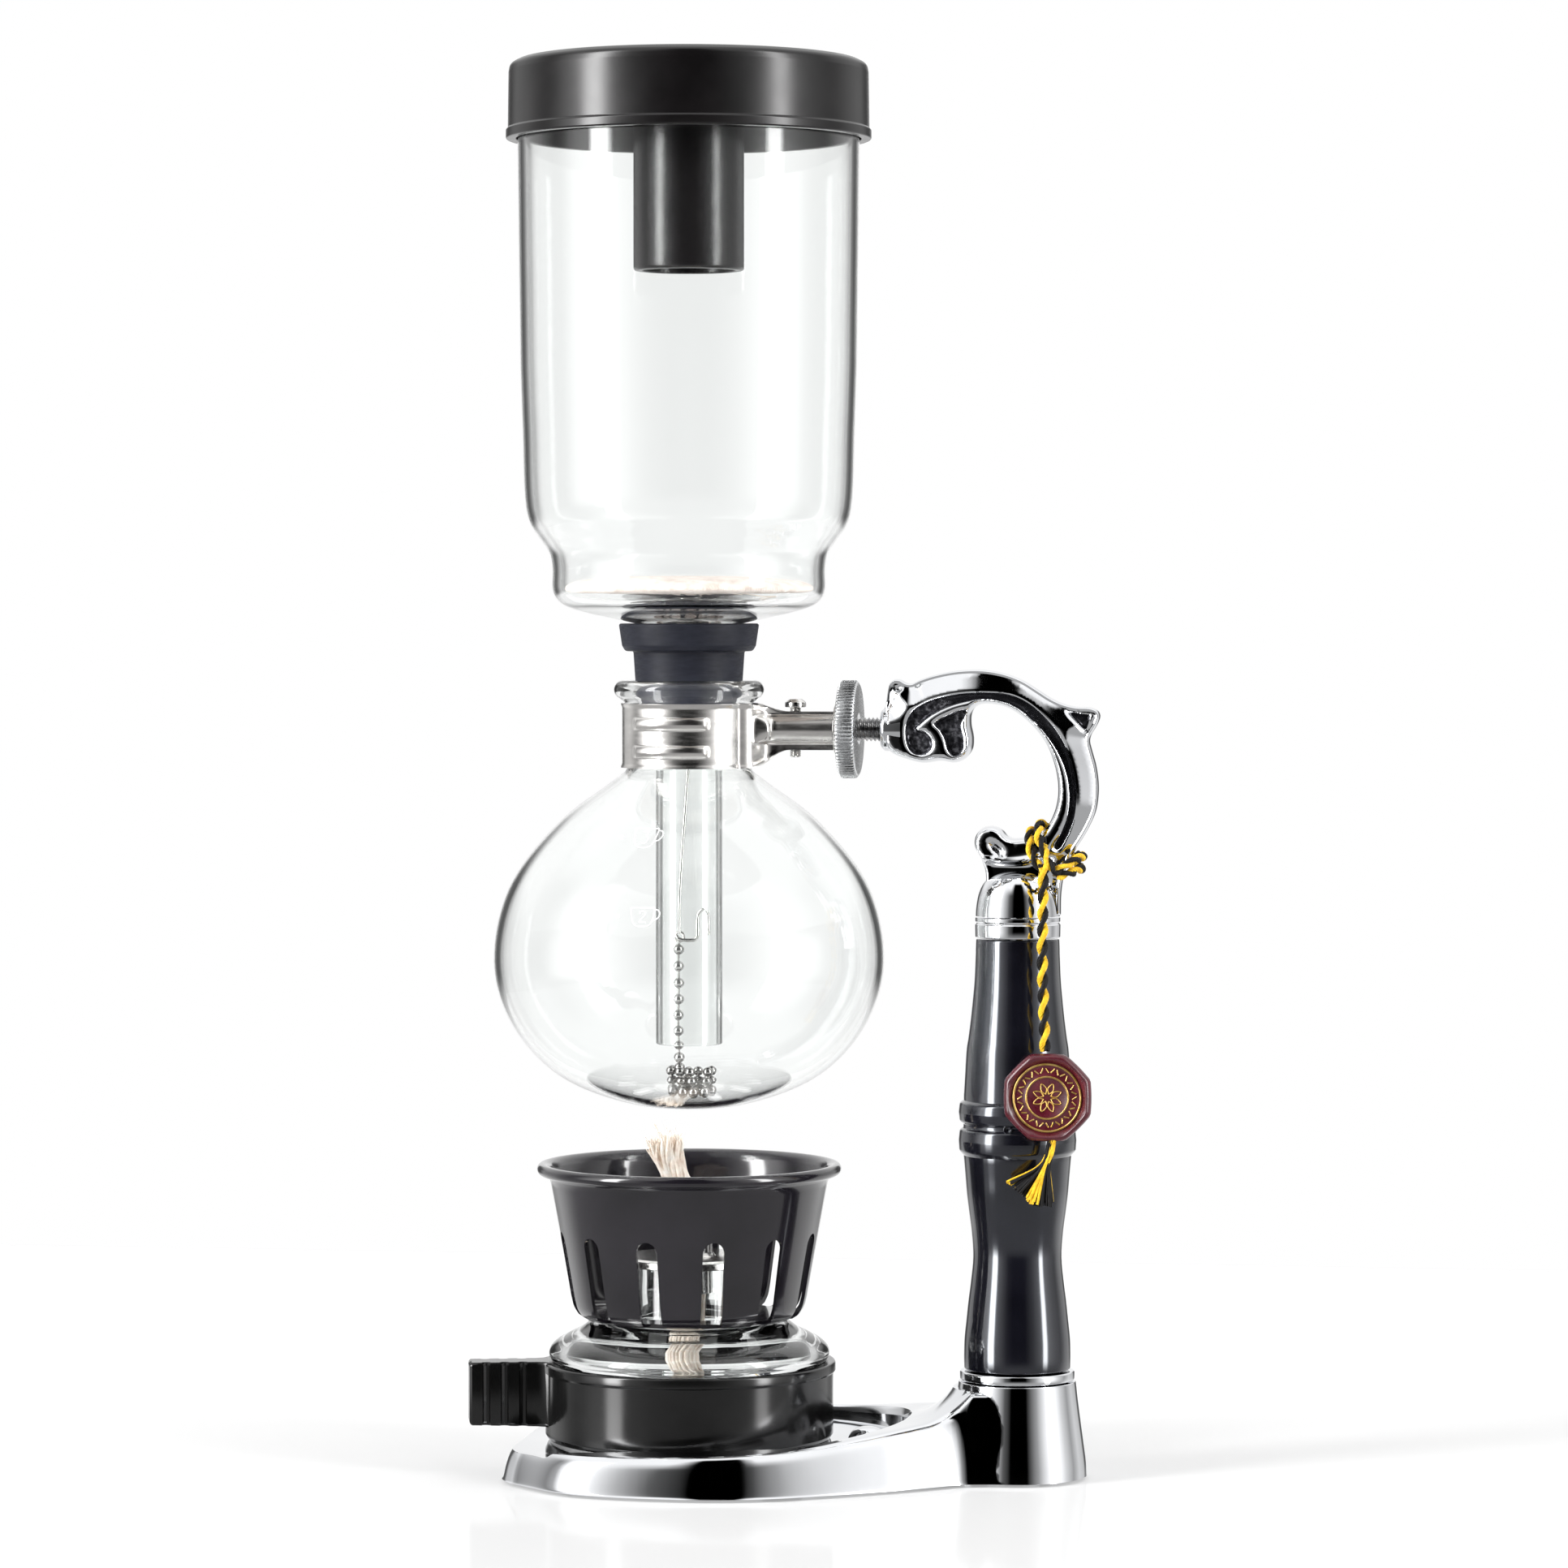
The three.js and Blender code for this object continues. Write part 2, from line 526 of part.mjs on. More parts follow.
// ---- lamp ----
function lampHolder() {
  const cup = turned(points2([
    [0, HOLDER_BOTTOM], [34.6, HOLDER_BOTTOM], [35.6, HOLDER_BOTTOM + 1], [35.6, HOLDER_TOP - 2.4],
    [HOLDER_RADIUS, HOLDER_TOP - 2], [HOLDER_RADIUS, HOLDER_TOP], [33.6, HOLDER_TOP], [33.6, HOLDER_BOTTOM + 2.6],
    [0, HOLDER_BOTTOM + 2.6],
  ]));
  // Pull tab with three grip grooves on each side, drawn from above.
  const tab = new THREE.Shape();
  const [start, end, half, groove] = [34.2, 54.5, 4.3, 0.7];
  const side = [[start, half + 1.6], [38, half]];
  for (let x = 40.5; x < 52; x += 4.6) {
    side.push([x, half], [x + 0.5, half - groove], [x + 1.6, half - groove], [x + 2.1, half]);
  }
  side.push([end, half]);
  tab.setFromPoints([...points2(side), ...points2(side.map(([x, y]) => [x, -y]).reverse())]);
  const block = new THREE.ExtrudeGeometry(tab, { depth: 16, bevelEnabled: false });
  block.translate(0, 0, 12);
  const slope = box([33, -10, 0], [60, 10, 12.4]);
  slope.rotateY(-0.03);
  const lug = cut(block, slope);
  lug.rotateZ(Math.PI + TAB_TURN);
  return join(cup, lug);
}
piece('lamp_holder', lampHolder(), 'moulded');

function reservoirProfile() {
  const outer = [
    ...points2([[0, 11.2], [31, 11.2], [33.2, 13.4], [33.2, 27.5]]),
    ...smooth([[34.2, 28], [34.7, 29.4], [32.5, 32.6], [26.5, 35.8], [24.6, 37.4]], 5),
    ...points2([[22.6, 37.9], [15.2, 37.9], [15.2, 51.9]]),
  ];
  const inner = [[12.6, 51.9], [12.6, 36.4], [16, 34.6], [24, 33], [30, 29.2], [30.4, 27], [30.4, 15.6], [28.4, 14], [0, 14]];
  return [...outer, ...points2(inner)];
}
piece('lamp_reservoir', turned(reservoirProfile()), 'glass');

const holderCapProfile = [
  [4.9, 44], [5.7, 44], [5.7, 52.2], [15.6, 52.2], [15.6, 53.4], [6.4, 53.4], [5.7, 54.4], [5.7, 63], [4.9, 63], [4.9, 44],
];
piece('wick_holder', turned(points2(holderCapProfile)), 'stainless');

const wickPath = spline3([
  [-3, 0, 15], [-1.2, 0, 30], [0, 0, 42], [0, 0, 54], [-0.1, 0, 64], [-4.2, 0, 74], [-7.4, 0, 86],
]);
piece('wick', rod(wickPath, WICK_RADIUS, 10, 14), 'cotton');

function windGuard() {
  const outer = points2([
    [16, GUARD_BOTTOM], [24.4, GUARD_BOTTOM], [27.4, 39.6], [29.2, 43.4], [34.2, 71], [35.2, 73.4], [36.4, 73.4], [37.4, 74.2],
    [37.4, GUARD_RIM_Z + 0.4], [36.4, GUARD_RIM_Z + 1.2], [34.6, GUARD_RIM_Z + 1],
  ]);
  const inner = points2([[33.3, 71], [28.2, 43.6], [26.8, 40.4], [24.2, GUARD_BOTTOM + GUARD_SHEET], [16, GUARD_BOTTOM + GUARD_SHEET]]);
  const bowl = turned([...outer, ...inner, outer[0]]);
  const slots = [];
  for (let i = 0; i < SLOT_COUNT; i += 1) {
    const shape = new THREE.Shape();
    shape.moveTo(-SLOT_WIDTH / 2, SLOT_FOOT_Z);
    shape.lineTo(SLOT_WIDTH / 2, SLOT_FOOT_Z);
    shape.lineTo(SLOT_WIDTH / 2, SLOT_ARCH_Z);
    shape.absarc(0, SLOT_ARCH_Z, SLOT_WIDTH / 2, 0, Math.PI, false);
    const slot = new THREE.ExtrudeGeometry(shape, { depth: SLOT_REACH, bevelEnabled: false, curveSegments: 3 });
    slot.rotateX(Math.PI / 2);
    slot.translate(0, -SLOT_INNER, 0);
    slot.rotateZ((i / SLOT_COUNT) * 2 * Math.PI + SLOT_TURN);
    slots.push(slot);
  }
  return cut(bowl, ...slots);
}
piece('wind_guard', windGuard(), 'enamel');

// ---- tag on its twisted cord ----
const TAG_X = 88.8;
const SEAL = { x: 90.4, y: -16.8, z: 95, radius: 11, thickness: 4 };

// Loop of cord round the foot of the scroll, tilted down towards the back of the handle.
function tagLoop() {
  const path = [];
  const [halfLength, halfWidth] = [8.6, 7.6];
  const [level, drop] = [0.85, 0.52];
  const corners = 16;
  for (let i = 0; i < corners; i += 1) {
    const angle = (i / corners) * 2 * Math.PI;
    const squared = (value) => Math.sign(value) * Math.sqrt(Math.abs(value));
    const along = halfLength * squared(Math.cos(angle));
    path.push([89.2 + along * level, halfWidth * squared(Math.sin(angle)), 154.6 - along * drop]);
  }
  return rod(spline3(path, true), CORD_DIAMETER / 2 - 0.4, 6, 28);
}
piece('tag_loop', tagLoop(), 'cord');

const cordPath = spline3([
  [TAG_X, -11.2, 151], [TAG_X, -12, 146], [TAG_X, -12.8, 138], [TAG_X, -13.8, 128], [TAG_X + 0.4, -15, 118],
  [SEAL.x - 0.6, SEAL.y + 0.2, SEAL.z + SEAL.radius + GAP],
]);
piece('tag_cord', rod(cordPath, CORD_DIAMETER / 2, 8, 16), 'cord');

function tagSeal() {
  const corners = 16;
  const rim = new THREE.Shape(Array.from({ length: corners }, (_, i) => {
    const angle = (i / corners) * 2 * Math.PI;
    return vec2([SEAL.radius * Math.cos(angle), SEAL.radius * Math.sin(angle)]);
  }));
  const seal = slab(rim, SEAL.thickness, 0.8);
  seal.translate(SEAL.x, SEAL.y, SEAL.z);
  return outward(seal);
}
piece('tag_seal', tagSeal(), 'wax');

// Frayed ends of the cord, fanned out under the seal.
function tagTassel() {
  const fan = new THREE.Shape();
  fan.setFromPoints(points2([[-1.4, 0], [1.4, 0], [2.4, -7], [3.6, -14], [-2, -15.6], [-6.4, -11.5], [-3.4, -6]]));
  const tassel = slab(fan, 3.4);
  tassel.translate(SEAL.x, SEAL.y, SEAL.z - SEAL.radius - GAP);
  return outward(tassel);
}
piece('tag_tassel', tagTassel(), 'cord');

export default assembly;
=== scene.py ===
import math
import random

import bmesh
import bpy
import numpy as np
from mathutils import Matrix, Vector
from mathutils.geometry import delaunay_2d_cdt


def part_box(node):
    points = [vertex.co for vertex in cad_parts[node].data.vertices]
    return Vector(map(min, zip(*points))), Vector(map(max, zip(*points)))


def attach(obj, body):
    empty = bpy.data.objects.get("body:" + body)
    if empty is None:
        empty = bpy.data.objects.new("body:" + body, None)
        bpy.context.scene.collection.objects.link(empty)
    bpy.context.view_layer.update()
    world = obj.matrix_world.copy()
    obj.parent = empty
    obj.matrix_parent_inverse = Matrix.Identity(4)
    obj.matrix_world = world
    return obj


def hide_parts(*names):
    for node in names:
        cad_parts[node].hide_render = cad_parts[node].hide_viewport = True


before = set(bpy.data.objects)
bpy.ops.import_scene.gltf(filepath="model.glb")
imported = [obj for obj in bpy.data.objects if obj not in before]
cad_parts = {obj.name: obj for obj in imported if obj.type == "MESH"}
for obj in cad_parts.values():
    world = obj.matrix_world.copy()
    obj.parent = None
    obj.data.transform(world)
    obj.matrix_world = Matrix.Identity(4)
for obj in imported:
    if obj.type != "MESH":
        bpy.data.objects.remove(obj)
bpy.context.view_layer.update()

# Shape code counts in millimetres from the axis that flask, chamber and lamp share, with the handle on +X.
MM = 0.001


def middle(node):
    low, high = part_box(node)
    return (low + high) / 2


AXIS_X = middle("flask_glass").x
HANDLE = (middle("handle_grip").x - AXIS_X) / MM
STUD_Z = middle("clamp_stud").z / MM
TAU = 2 * math.pi


# ---- camera: a long lens at the height of the chamber's foot, turned a little towards the handle ----
CAMERA_TURN = math.radians(8.2)


def make_camera():
    azimuth, pitch = CAMERA_TURN, math.radians(1.79)
    aside, away, height = 23.4, 1380, 213
    data = bpy.data.cameras.new("camera")
    data.lens, data.sensor_width = 128.6, 36
    data.clip_start, data.clip_end = 0.05, 50
    camera = bpy.data.objects.new("camera", data)
    bpy.context.scene.collection.objects.link(camera)
    x = aside * math.cos(azimuth) + away * math.sin(azimuth)
    y = aside * math.sin(azimuth) - away * math.cos(azimuth)
    camera.location = (AXIS_X + x * MM, y * MM, height * MM)
    camera.rotation_euler = (math.pi / 2 - pitch, 0, azimuth)
    bpy.context.scene.camera = camera


make_camera()


# ---- lines and profiles ----
def smooth(points, per=8, closed=False):
    """Points along a smooth line through the given ones (centripetal Catmull-Rom)."""
    given = [np.array(p, float) for p in points]
    if closed:
        run = [given[-1], *given, given[0], given[1]]
    else:
        run = [2 * given[0] - given[1], *given, 2 * given[-1] - given[-2]]
    out = []
    for a, b, c, d in zip(run, run[1:], run[2:], run[3:]):
        ta, tb, tc = (max(np.linalg.norm(q - p), 1e-9) ** 0.5 for p, q in ((a, b), (b, c), (c, d)))
        leave = tb * ((b - a) / ta - (c - a) / (ta + tb) + (c - b) / tb)
        arrive = tb * ((c - b) / tb - (d - b) / (tb + tc) + (d - c) / tc)
        for k in range(per):
            t = k / per
            out.append((2 * t**3 - 3 * t**2 + 1) * b + (t**3 - 2 * t**2 + t) * leave
                + (3 * t**2 - 2 * t**3) * c + (t**3 - t**2) * arrive)
    if not closed:
        out.append(given[-1])
    return [tuple(p) for p in out]


def fillet(points, closed=True, steps=5):
    """Rounds each corner given as (r, z, radius)."""
    out, count = [], len(points)
    for i, point in enumerate(points):
        here = Vector(point[:2])
        if len(point) < 3 or (not closed and i in (0, count - 1)):
            out.append(tuple(here))
            continue
        u = Vector(points[i - 1][:2]) - here
        v = Vector(points[(i + 1) % count][:2]) - here
        reach = min(point[2] / math.tan(u.angle(v) / 2), 0.49 * u.length, 0.49 * v.length)
        a, b = here + u.normalized() * reach, here + v.normalized() * reach
        for k in range(steps + 1):
            t = k / steps
            out.append(tuple(a * (1 - t) ** 2 + here * 2 * t * (1 - t) + b * t * t))
    return out


def distances(line):
    """How far along a line each of its points is."""
    return np.r_[0, np.cumsum(np.linalg.norm(np.diff(line, axis=0), axis=1))]


def directions(line, closed=False):
    """Unit vectors along a line."""
    travel = np.roll(line, -1, axis=0) - np.roll(line, 1, axis=0) if closed else np.gradient(line, axis=0)
    return travel / np.linalg.norm(travel, axis=1)[:, None]


def at_places(line, places):
    """The points of a line at the given distances along it."""
    lengths = distances(line)
    return np.stack([np.interp(places, lengths, line[:, k]) for k in range(line.shape[1])], axis=1)


def resample(points, step):
    """The same line with points about a step apart."""
    line = np.array(points, float)
    length = distances(line)[-1]
    return at_places(line, np.linspace(0, length, max(2, int(round(length / step)) + 1)))


def line_frames(line, axis=1, closed=False):
    """Two sideways unit vectors at each point of a line, turning as little as possible.

    They start square to the axis, which is 0, 1 or 2 for X, Y or Z.
    """
    travel = directions(line, closed)
    side = np.cross(travel[0], np.eye(3)[axis if abs(travel[0][axis]) < 0.9 else 0])
    sides = []
    for direction in travel:
        side = side - direction * (side @ direction)
        side /= np.linalg.norm(side)
        sides.append(side)
    sides = np.array(sides)
    return sides, np.cross(travel, sides)


def shifted(profile, distance, closed=False):
    """The line moved to the left of its direction of travel."""
    line = np.array(profile, float)
    travel = directions(line, closed)
    return line + np.stack([-travel[:, 1], travel[:, 0]], axis=1) * distance


def ease(t):
    """0 to 1 along an S, and flat outside that."""
    t = np.clip(t, 0, 1)
    return t * t * (3 - 2 * t)


# ---- meshes ----
def turned(profile, around=128, centre=(0, 0)):
    """A piece turned about +Z from a profile of radius and height."""
    angles = [TAU * i / around for i in range(around)]
    verts, rows = [], []
    for r, z in profile:
        first = len(verts)
        if r < 1e-6:
            verts.append((centre[0], centre[1], z))
            rows.append([first])
            continue
        for angle in angles:
            verts.append((centre[0] + r * math.cos(angle), centre[1] + r * math.sin(angle), z))
        rows.append(list(range(first, first + around)))
    pairs = list(zip(rows, rows[1:]))
    if len(rows[0]) > 1 or len(rows[-1]) > 1:
        pairs.append((rows[-1], rows[0]))
    faces = []
    for low, high in pairs:
        if len(low) == 1 and len(high) == 1:
            continue
        for i in range(around):
            j = (i + 1) % around
            corners = [low[i % len(low)], low[j % len(low)], high[j % len(high)], high[i % len(high)]]
            faces.append(list(dict.fromkeys(corners)))
    return verts, faces


def along_stud(mesh):
    """Lays a mesh made along +Z down along +X, on the clamp stud's axis."""
    verts, faces = mesh
    return [(z, y, STUD_Z - x) for x, y, z in verts], faces


def sections(rings, closed=False):
    """Skins equal rings of points into one mesh, with flat ends unless the last ring joins the first."""
    count = len(rings[0])
    verts = [tuple(p) for ring in rings for p in ring]
    faces = []
    levels = len(rings)
    for level in range(levels if closed else levels - 1):
        a, b = level * count, ((level + 1) % levels) * count
        for i in range(count):
            j = (i + 1) % count
            faces.append([a + i, a + j, b + j, b + i])
    if not closed:
        faces.append(list(range(count)))
        faces.append(list(range((levels - 1) * count, levels * count)))
    return verts, faces


def tube(path, radius, sides=12, closed=False):
    """A round bar along a path. radius is a number, or one for each point."""
    line = np.array(path, float)
    radii = np.broadcast_to(radius, (len(line),))
    angles = [TAU * k / sides for k in range(sides)]
    rings = []
    for point, r, side, up in zip(line, radii, *line_frames(line, 2, closed)):
        rings.append([point + r * (math.cos(a) * side + math.sin(a) * up) for a in angles])
    return sections(rings, closed)


def merged(*meshes):
    """Several meshes as one."""
    verts, faces = [], []
    for more_verts, more_faces in meshes:
        base = len(verts)
        verts += [tuple(v) for v in more_verts]
        faces += [[i + base for i in face] for face in more_faces]
    return verts, faces


def mesh_data(name, verts, faces):
    """Blender's mesh, with its faces turned outwards."""
    data = bpy.data.meshes.new(name)
    data.from_pydata([tuple(map(float, v)) for v in verts], [], [[int(i) for i in face] for face in faces])
    work = bmesh.new()
    work.from_mesh(data)
    bmesh.ops.recalc_face_normals(work, faces=work.faces)
    work.to_mesh(data)
    work.free()
    return data


def piece(name, mesh, body, looks, replaces=(), sharp=40):
    """Makes a piece from a mesh in millimetres. looks names one look, or several with spaces."""
    data = mesh_data(name, np.array(mesh[0], float) * MM + (AXIS_X, 0, 0), mesh[1])
    data.polygons.foreach_set("use_smooth", [True] * len(data.polygons))
    data.set_sharp_from_angle(angle=math.radians(sharp))
    for look in looks.split():
        data.materials.append(LOOKS[look])
    made = bpy.data.objects.new(name, data)
    bpy.context.scene.collection.objects.link(made)
    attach(made, body)
    if replaces:
        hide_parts(*replaces)
    return made


# ---- materials ----
def add_node(tree, kind, **values):
    made = tree.nodes.new(kind)
    for key, value in values.items():
        setattr(made, key, value)
    return made


def add_ramp(tree, source, stops):
    """A ramp through stops of place and colour."""
    made = tree.nodes.new("ShaderNodeValToRGB")
    ramp = made.color_ramp
    while len(ramp.elements) < len(stops):
        ramp.elements.new(0.5)
    for element, (place, colour) in zip(ramp.elements, stops):
        element.position = place
        element.color = (*colour, 1)
    tree.links.new(source, made.inputs["Fac"])
    return made.outputs["Color"]


class Look:
    """A material with a few procedural layers on a Principled shader."""

    def __init__(self, name, **values):
        self.material = bpy.data.materials.new(name)
        self.material.use_nodes = True
        self.tree = self.material.node_tree
        self.shader = self.tree.nodes["Principled BSDF"]
        for key, value in values.items():
            self.shader.inputs[key.replace("_", " ")].default_value = value
        self.normal = None

    def pattern(self, kind, stretch, settings, **values):
        """A texture laid in the object's own coordinates."""
        coordinates = add_node(self.tree, "ShaderNodeTexCoord")
        mapping = add_node(self.tree, "ShaderNodeMapping")
        mapping.inputs["Scale"].default_value = stretch
        made = add_node(self.tree, kind, **values)
        for key, value in settings.items():
            made.inputs[key].default_value = value
        self.tree.links.new(coordinates.outputs["Object"], mapping.inputs["Vector"])
        self.tree.links.new(mapping.outputs["Vector"], made.inputs["Vector"])
        return made.outputs["Fac"]

    def noise(self, scale, detail=3.0, stretch=(1, 1, 1)):
        return self.pattern("ShaderNodeTexNoise", stretch, {"Scale": scale, "Detail": detail})

    def bands(self, scale, direction, distortion):
        settings = {"Scale": scale, "Distortion": distortion, "Detail": 2.0}
        return self.pattern("ShaderNodeTexWave", (1, 1, 1), settings, bands_direction=direction)

    def rough(self, source, low, high):
        """Roughness from low to high, over the middle of the source's range."""
        made = add_node(self.tree, "ShaderNodeMapRange")
        for key, value in (("From Min", 0.3), ("From Max", 0.7), ("To Min", low), ("To Max", high)):
            made.inputs[key].default_value = value
        self.tree.links.new(source, made.inputs["Value"])
        self.tree.links.new(made.outputs["Result"], self.shader.inputs["Roughness"])

    def bump(self, source, depth_mm, strength):
        made = add_node(self.tree, "ShaderNodeBump")
        made.inputs["Strength"].default_value = strength
        made.inputs["Distance"].default_value = depth_mm * MM
        self.tree.links.new(source, made.inputs["Height"])
        if self.normal:
            self.tree.links.new(self.normal, made.inputs["Normal"])
        self.normal = made.outputs["Normal"]
        self.tree.links.new(self.normal, self.shader.inputs["Normal"])


LOOKS = {}


def finish(key, name, tint=None, stops=None, roughness=None, dents=(), **values):
    """Makes a look. Noises (scale, detail, stretch) tint it through stops, roughen it and dent it."""
    look = Look(name, **values)
    if tint:
        look.tree.links.new(add_ramp(look.tree, look.noise(*tint), stops), look.shader.inputs["Base Color"])
    if roughness:
        look.rough(look.noise(*roughness[0]), *roughness[1:])
    for noise, depth_mm, strength in dents:
        look.bump(look.noise(*noise), depth_mm, strength)
    LOOKS[key] = look.material
    return look


finish("chrome", "chrome_plate", (45,), [(0.3, (0.74, 0.75, 0.77)), (0.7, (0.82, 0.83, 0.85))],
    ((160, 4), 0.025, 0.075), [((110, 2), 0.03, 0.35)], Metallic=1.0)
finish("zinc", "nickel_knurl", (900, 5), [(0.3, (0.66, 0.67, 0.68)), (0.7, (0.84, 0.85, 0.86))],
    ((2200, 3), 0.16, 0.3), Metallic=1.0)
finish("stainless", "pressed_stainless", (70, 5, (1, 1, 3)), [(0.3, (0.6, 0.585, 0.57)),
    (0.72, (0.83, 0.81, 0.785))], ((240, 5, (1, 1, 5)), 0.16, 0.27),
    [((900, 3, (0.25, 0.25, 6)), 0.006, 0.5), ((130, 2), 0.05, 0.4)], Metallic=1.0)
finish("wire", "bright_wire", (500,), [(0.3, (0.62, 0.61, 0.59)), (0.7, (0.86, 0.85, 0.83))],
    ((1500,), 0.1, 0.25), Metallic=1.0)
finish("bead", "chain_beads", (400,), [(0.3, (0.42, 0.41, 0.4)), (0.7, (0.62, 0.61, 0.6))],
    ((900,), 0.06, 0.16), Metallic=1.0)
# Painted shade: the recess and groove looks put near-black colour inside the scroll's hollow groove, leaf and
# tip, standing in for the shade and dark reflections there.
finish("recess", "recess_painted_shade", (900, 6), [(0.36, (0.012, 0.012, 0.015)), (0.52, (0.06, 0.06, 0.068)),
    (0.72, (0.3, 0.3, 0.33))], ((700, 4), 0.3, 0.5), [((1300, 5), 0.12, 0.8)], Metallic=0.9)
finish("groove", "groove_painted_shade", (120, 3), [(0.3, (0.02, 0.02, 0.024)), (0.7, (0.07, 0.07, 0.08))],
    ((200, 3), 0.12, 0.24), Metallic=0.8)
finish("thread", "plated_thread", (500, 4), [(0.3, (0.26, 0.26, 0.265)), (0.7, (0.46, 0.455, 0.45))],
    ((900, 3), 0.14, 0.26), Metallic=1.0)
finish("lacquer", "grip_lacquer", (60, 4), [(0.35, (0.003, 0.003, 0.005)), (0.7, (0.007, 0.007, 0.011))],
    ((45, 2), 0.12, 0.17), [((40, 1, (1, 1, 0.4)), 0.02, 0.2)], Coat_Weight=0.85, Coat_Roughness=0.05,
    Specular_Tint=(0.84, 0.9, 1, 1))
finish("lid", "lid_plastic", (80, 5), [(0.35, (0.003, 0.0026, 0.0028)), (0.7, (0.007, 0.006, 0.0064))],
    ((120, 3), 0.22, 0.27), [((2600, 3), 0.004, 0.5)])
finish("holder", "holder_plastic", (90, 5), [(0.35, (0.003, 0.003, 0.003)), (0.7, (0.007, 0.007, 0.007))],
    ((110, 3), 0.12, 0.18), [((60, 2), 0.02, 0.3)])
finish("enamel", "guard_enamel", (60, 5), [(0.35, (0.0065, 0.0056, 0.0078)),
    (0.7, (0.0125, 0.0107, 0.0147))], ((90, 3), 0.1, 0.17), [((70, 2), 0.02, 0.3)], Coat_Weight=0.6,
    Coat_Roughness=0.05)
finish("rubber", "stopper_rubber", (260, 5, (1, 1, 4)), [(0.3, (0.009, 0.01, 0.0165)),
    (0.75, (0.0165, 0.018, 0.028))], ((420, 4, (1, 1, 6)), 0.42, 0.6),
    [((600, 4, (0.2, 0.2, 5)), 0.03, 0.6)], Specular_IOR_Level=0.25)
finish("glass", "clear_glass", None, None, None, [((28, 1), 0.12, 0.25)], Base_Color=(0.985, 0.995, 0.99,
    1), Roughness=0.0, IOR=1.47, Transmission_Weight=1.0)
finish("thick_glass", "reservoir_glass", None, None, None, [((60, 2), 0.25, 0.5)], Base_Color=(0.97, 0.985,
    0.98, 1), Roughness=0.0, IOR=1.5, Transmission_Weight=1.0)
flannel = finish("flannel", "filter_flannel", (420, 6), [(0.3, (0.56, 0.46, 0.4)),
    (0.5, (0.71, 0.61, 0.55)), (0.7, (0.83, 0.75, 0.69))], Roughness=0.95, Sheen_Weight=0.35,
    Sheen_Roughness=0.5)
for direction in ("X", "Y"):
    flannel.bump(flannel.bands(1250, direction, 0.6), 0.12, 0.7)
finish("wick", "wick_cotton", (500, 5), [(0.3, (0.74, 0.6, 0.5)), (0.5, (0.92, 0.83, 0.73)),
    (0.7, (0.98, 0.94, 0.88))], None, [((3000, 4, (1, 1, 0.3)), 0.06, 0.8)], Roughness=0.95,
    Sheen_Weight=0.4, Sheen_Roughness=0.5)
for key, dark, light, sheen in (("yellow_ply", (0.66, 0.36, 0.01), (1, 0.66, 0.03), 0.2),
        ("black_ply", (0.002, 0.002, 0.003), (0.01, 0.009, 0.009), 0.02)):
    finish(key, key, (900, 4), [(0.3, dark), (0.7, light)], None, [((2600, 3, (1, 1, 0.35)), 0.08, 0.8)],
        Roughness=0.6, Specular_IOR_Level=0.25, Sheen_Weight=sheen, Sheen_Roughness=0.35)
finish("wax", "seal_wax", (220, 4), [(0.3, (0.052, 0.004, 0.009)), (0.7, (0.105, 0.009, 0.019))],
    ((500, 4), 0.22, 0.38), [((380, 3), 0.06, 0.5)], Coat_Weight=0.3, Coat_Roughness=0.12)
finish("gold", "seal_gold", (700, 3), [(0.3, (0.46, 0.28, 0.06)), (0.7, (0.74, 0.52, 0.19))],
    ((900, 3), 0.25, 0.42), Metallic=0.9)
finish("print", "mark_print", (1500, 3), [(0.3, (0.86, 0.88, 0.9)), (0.7, (1, 1, 1))], Roughness=0.5)


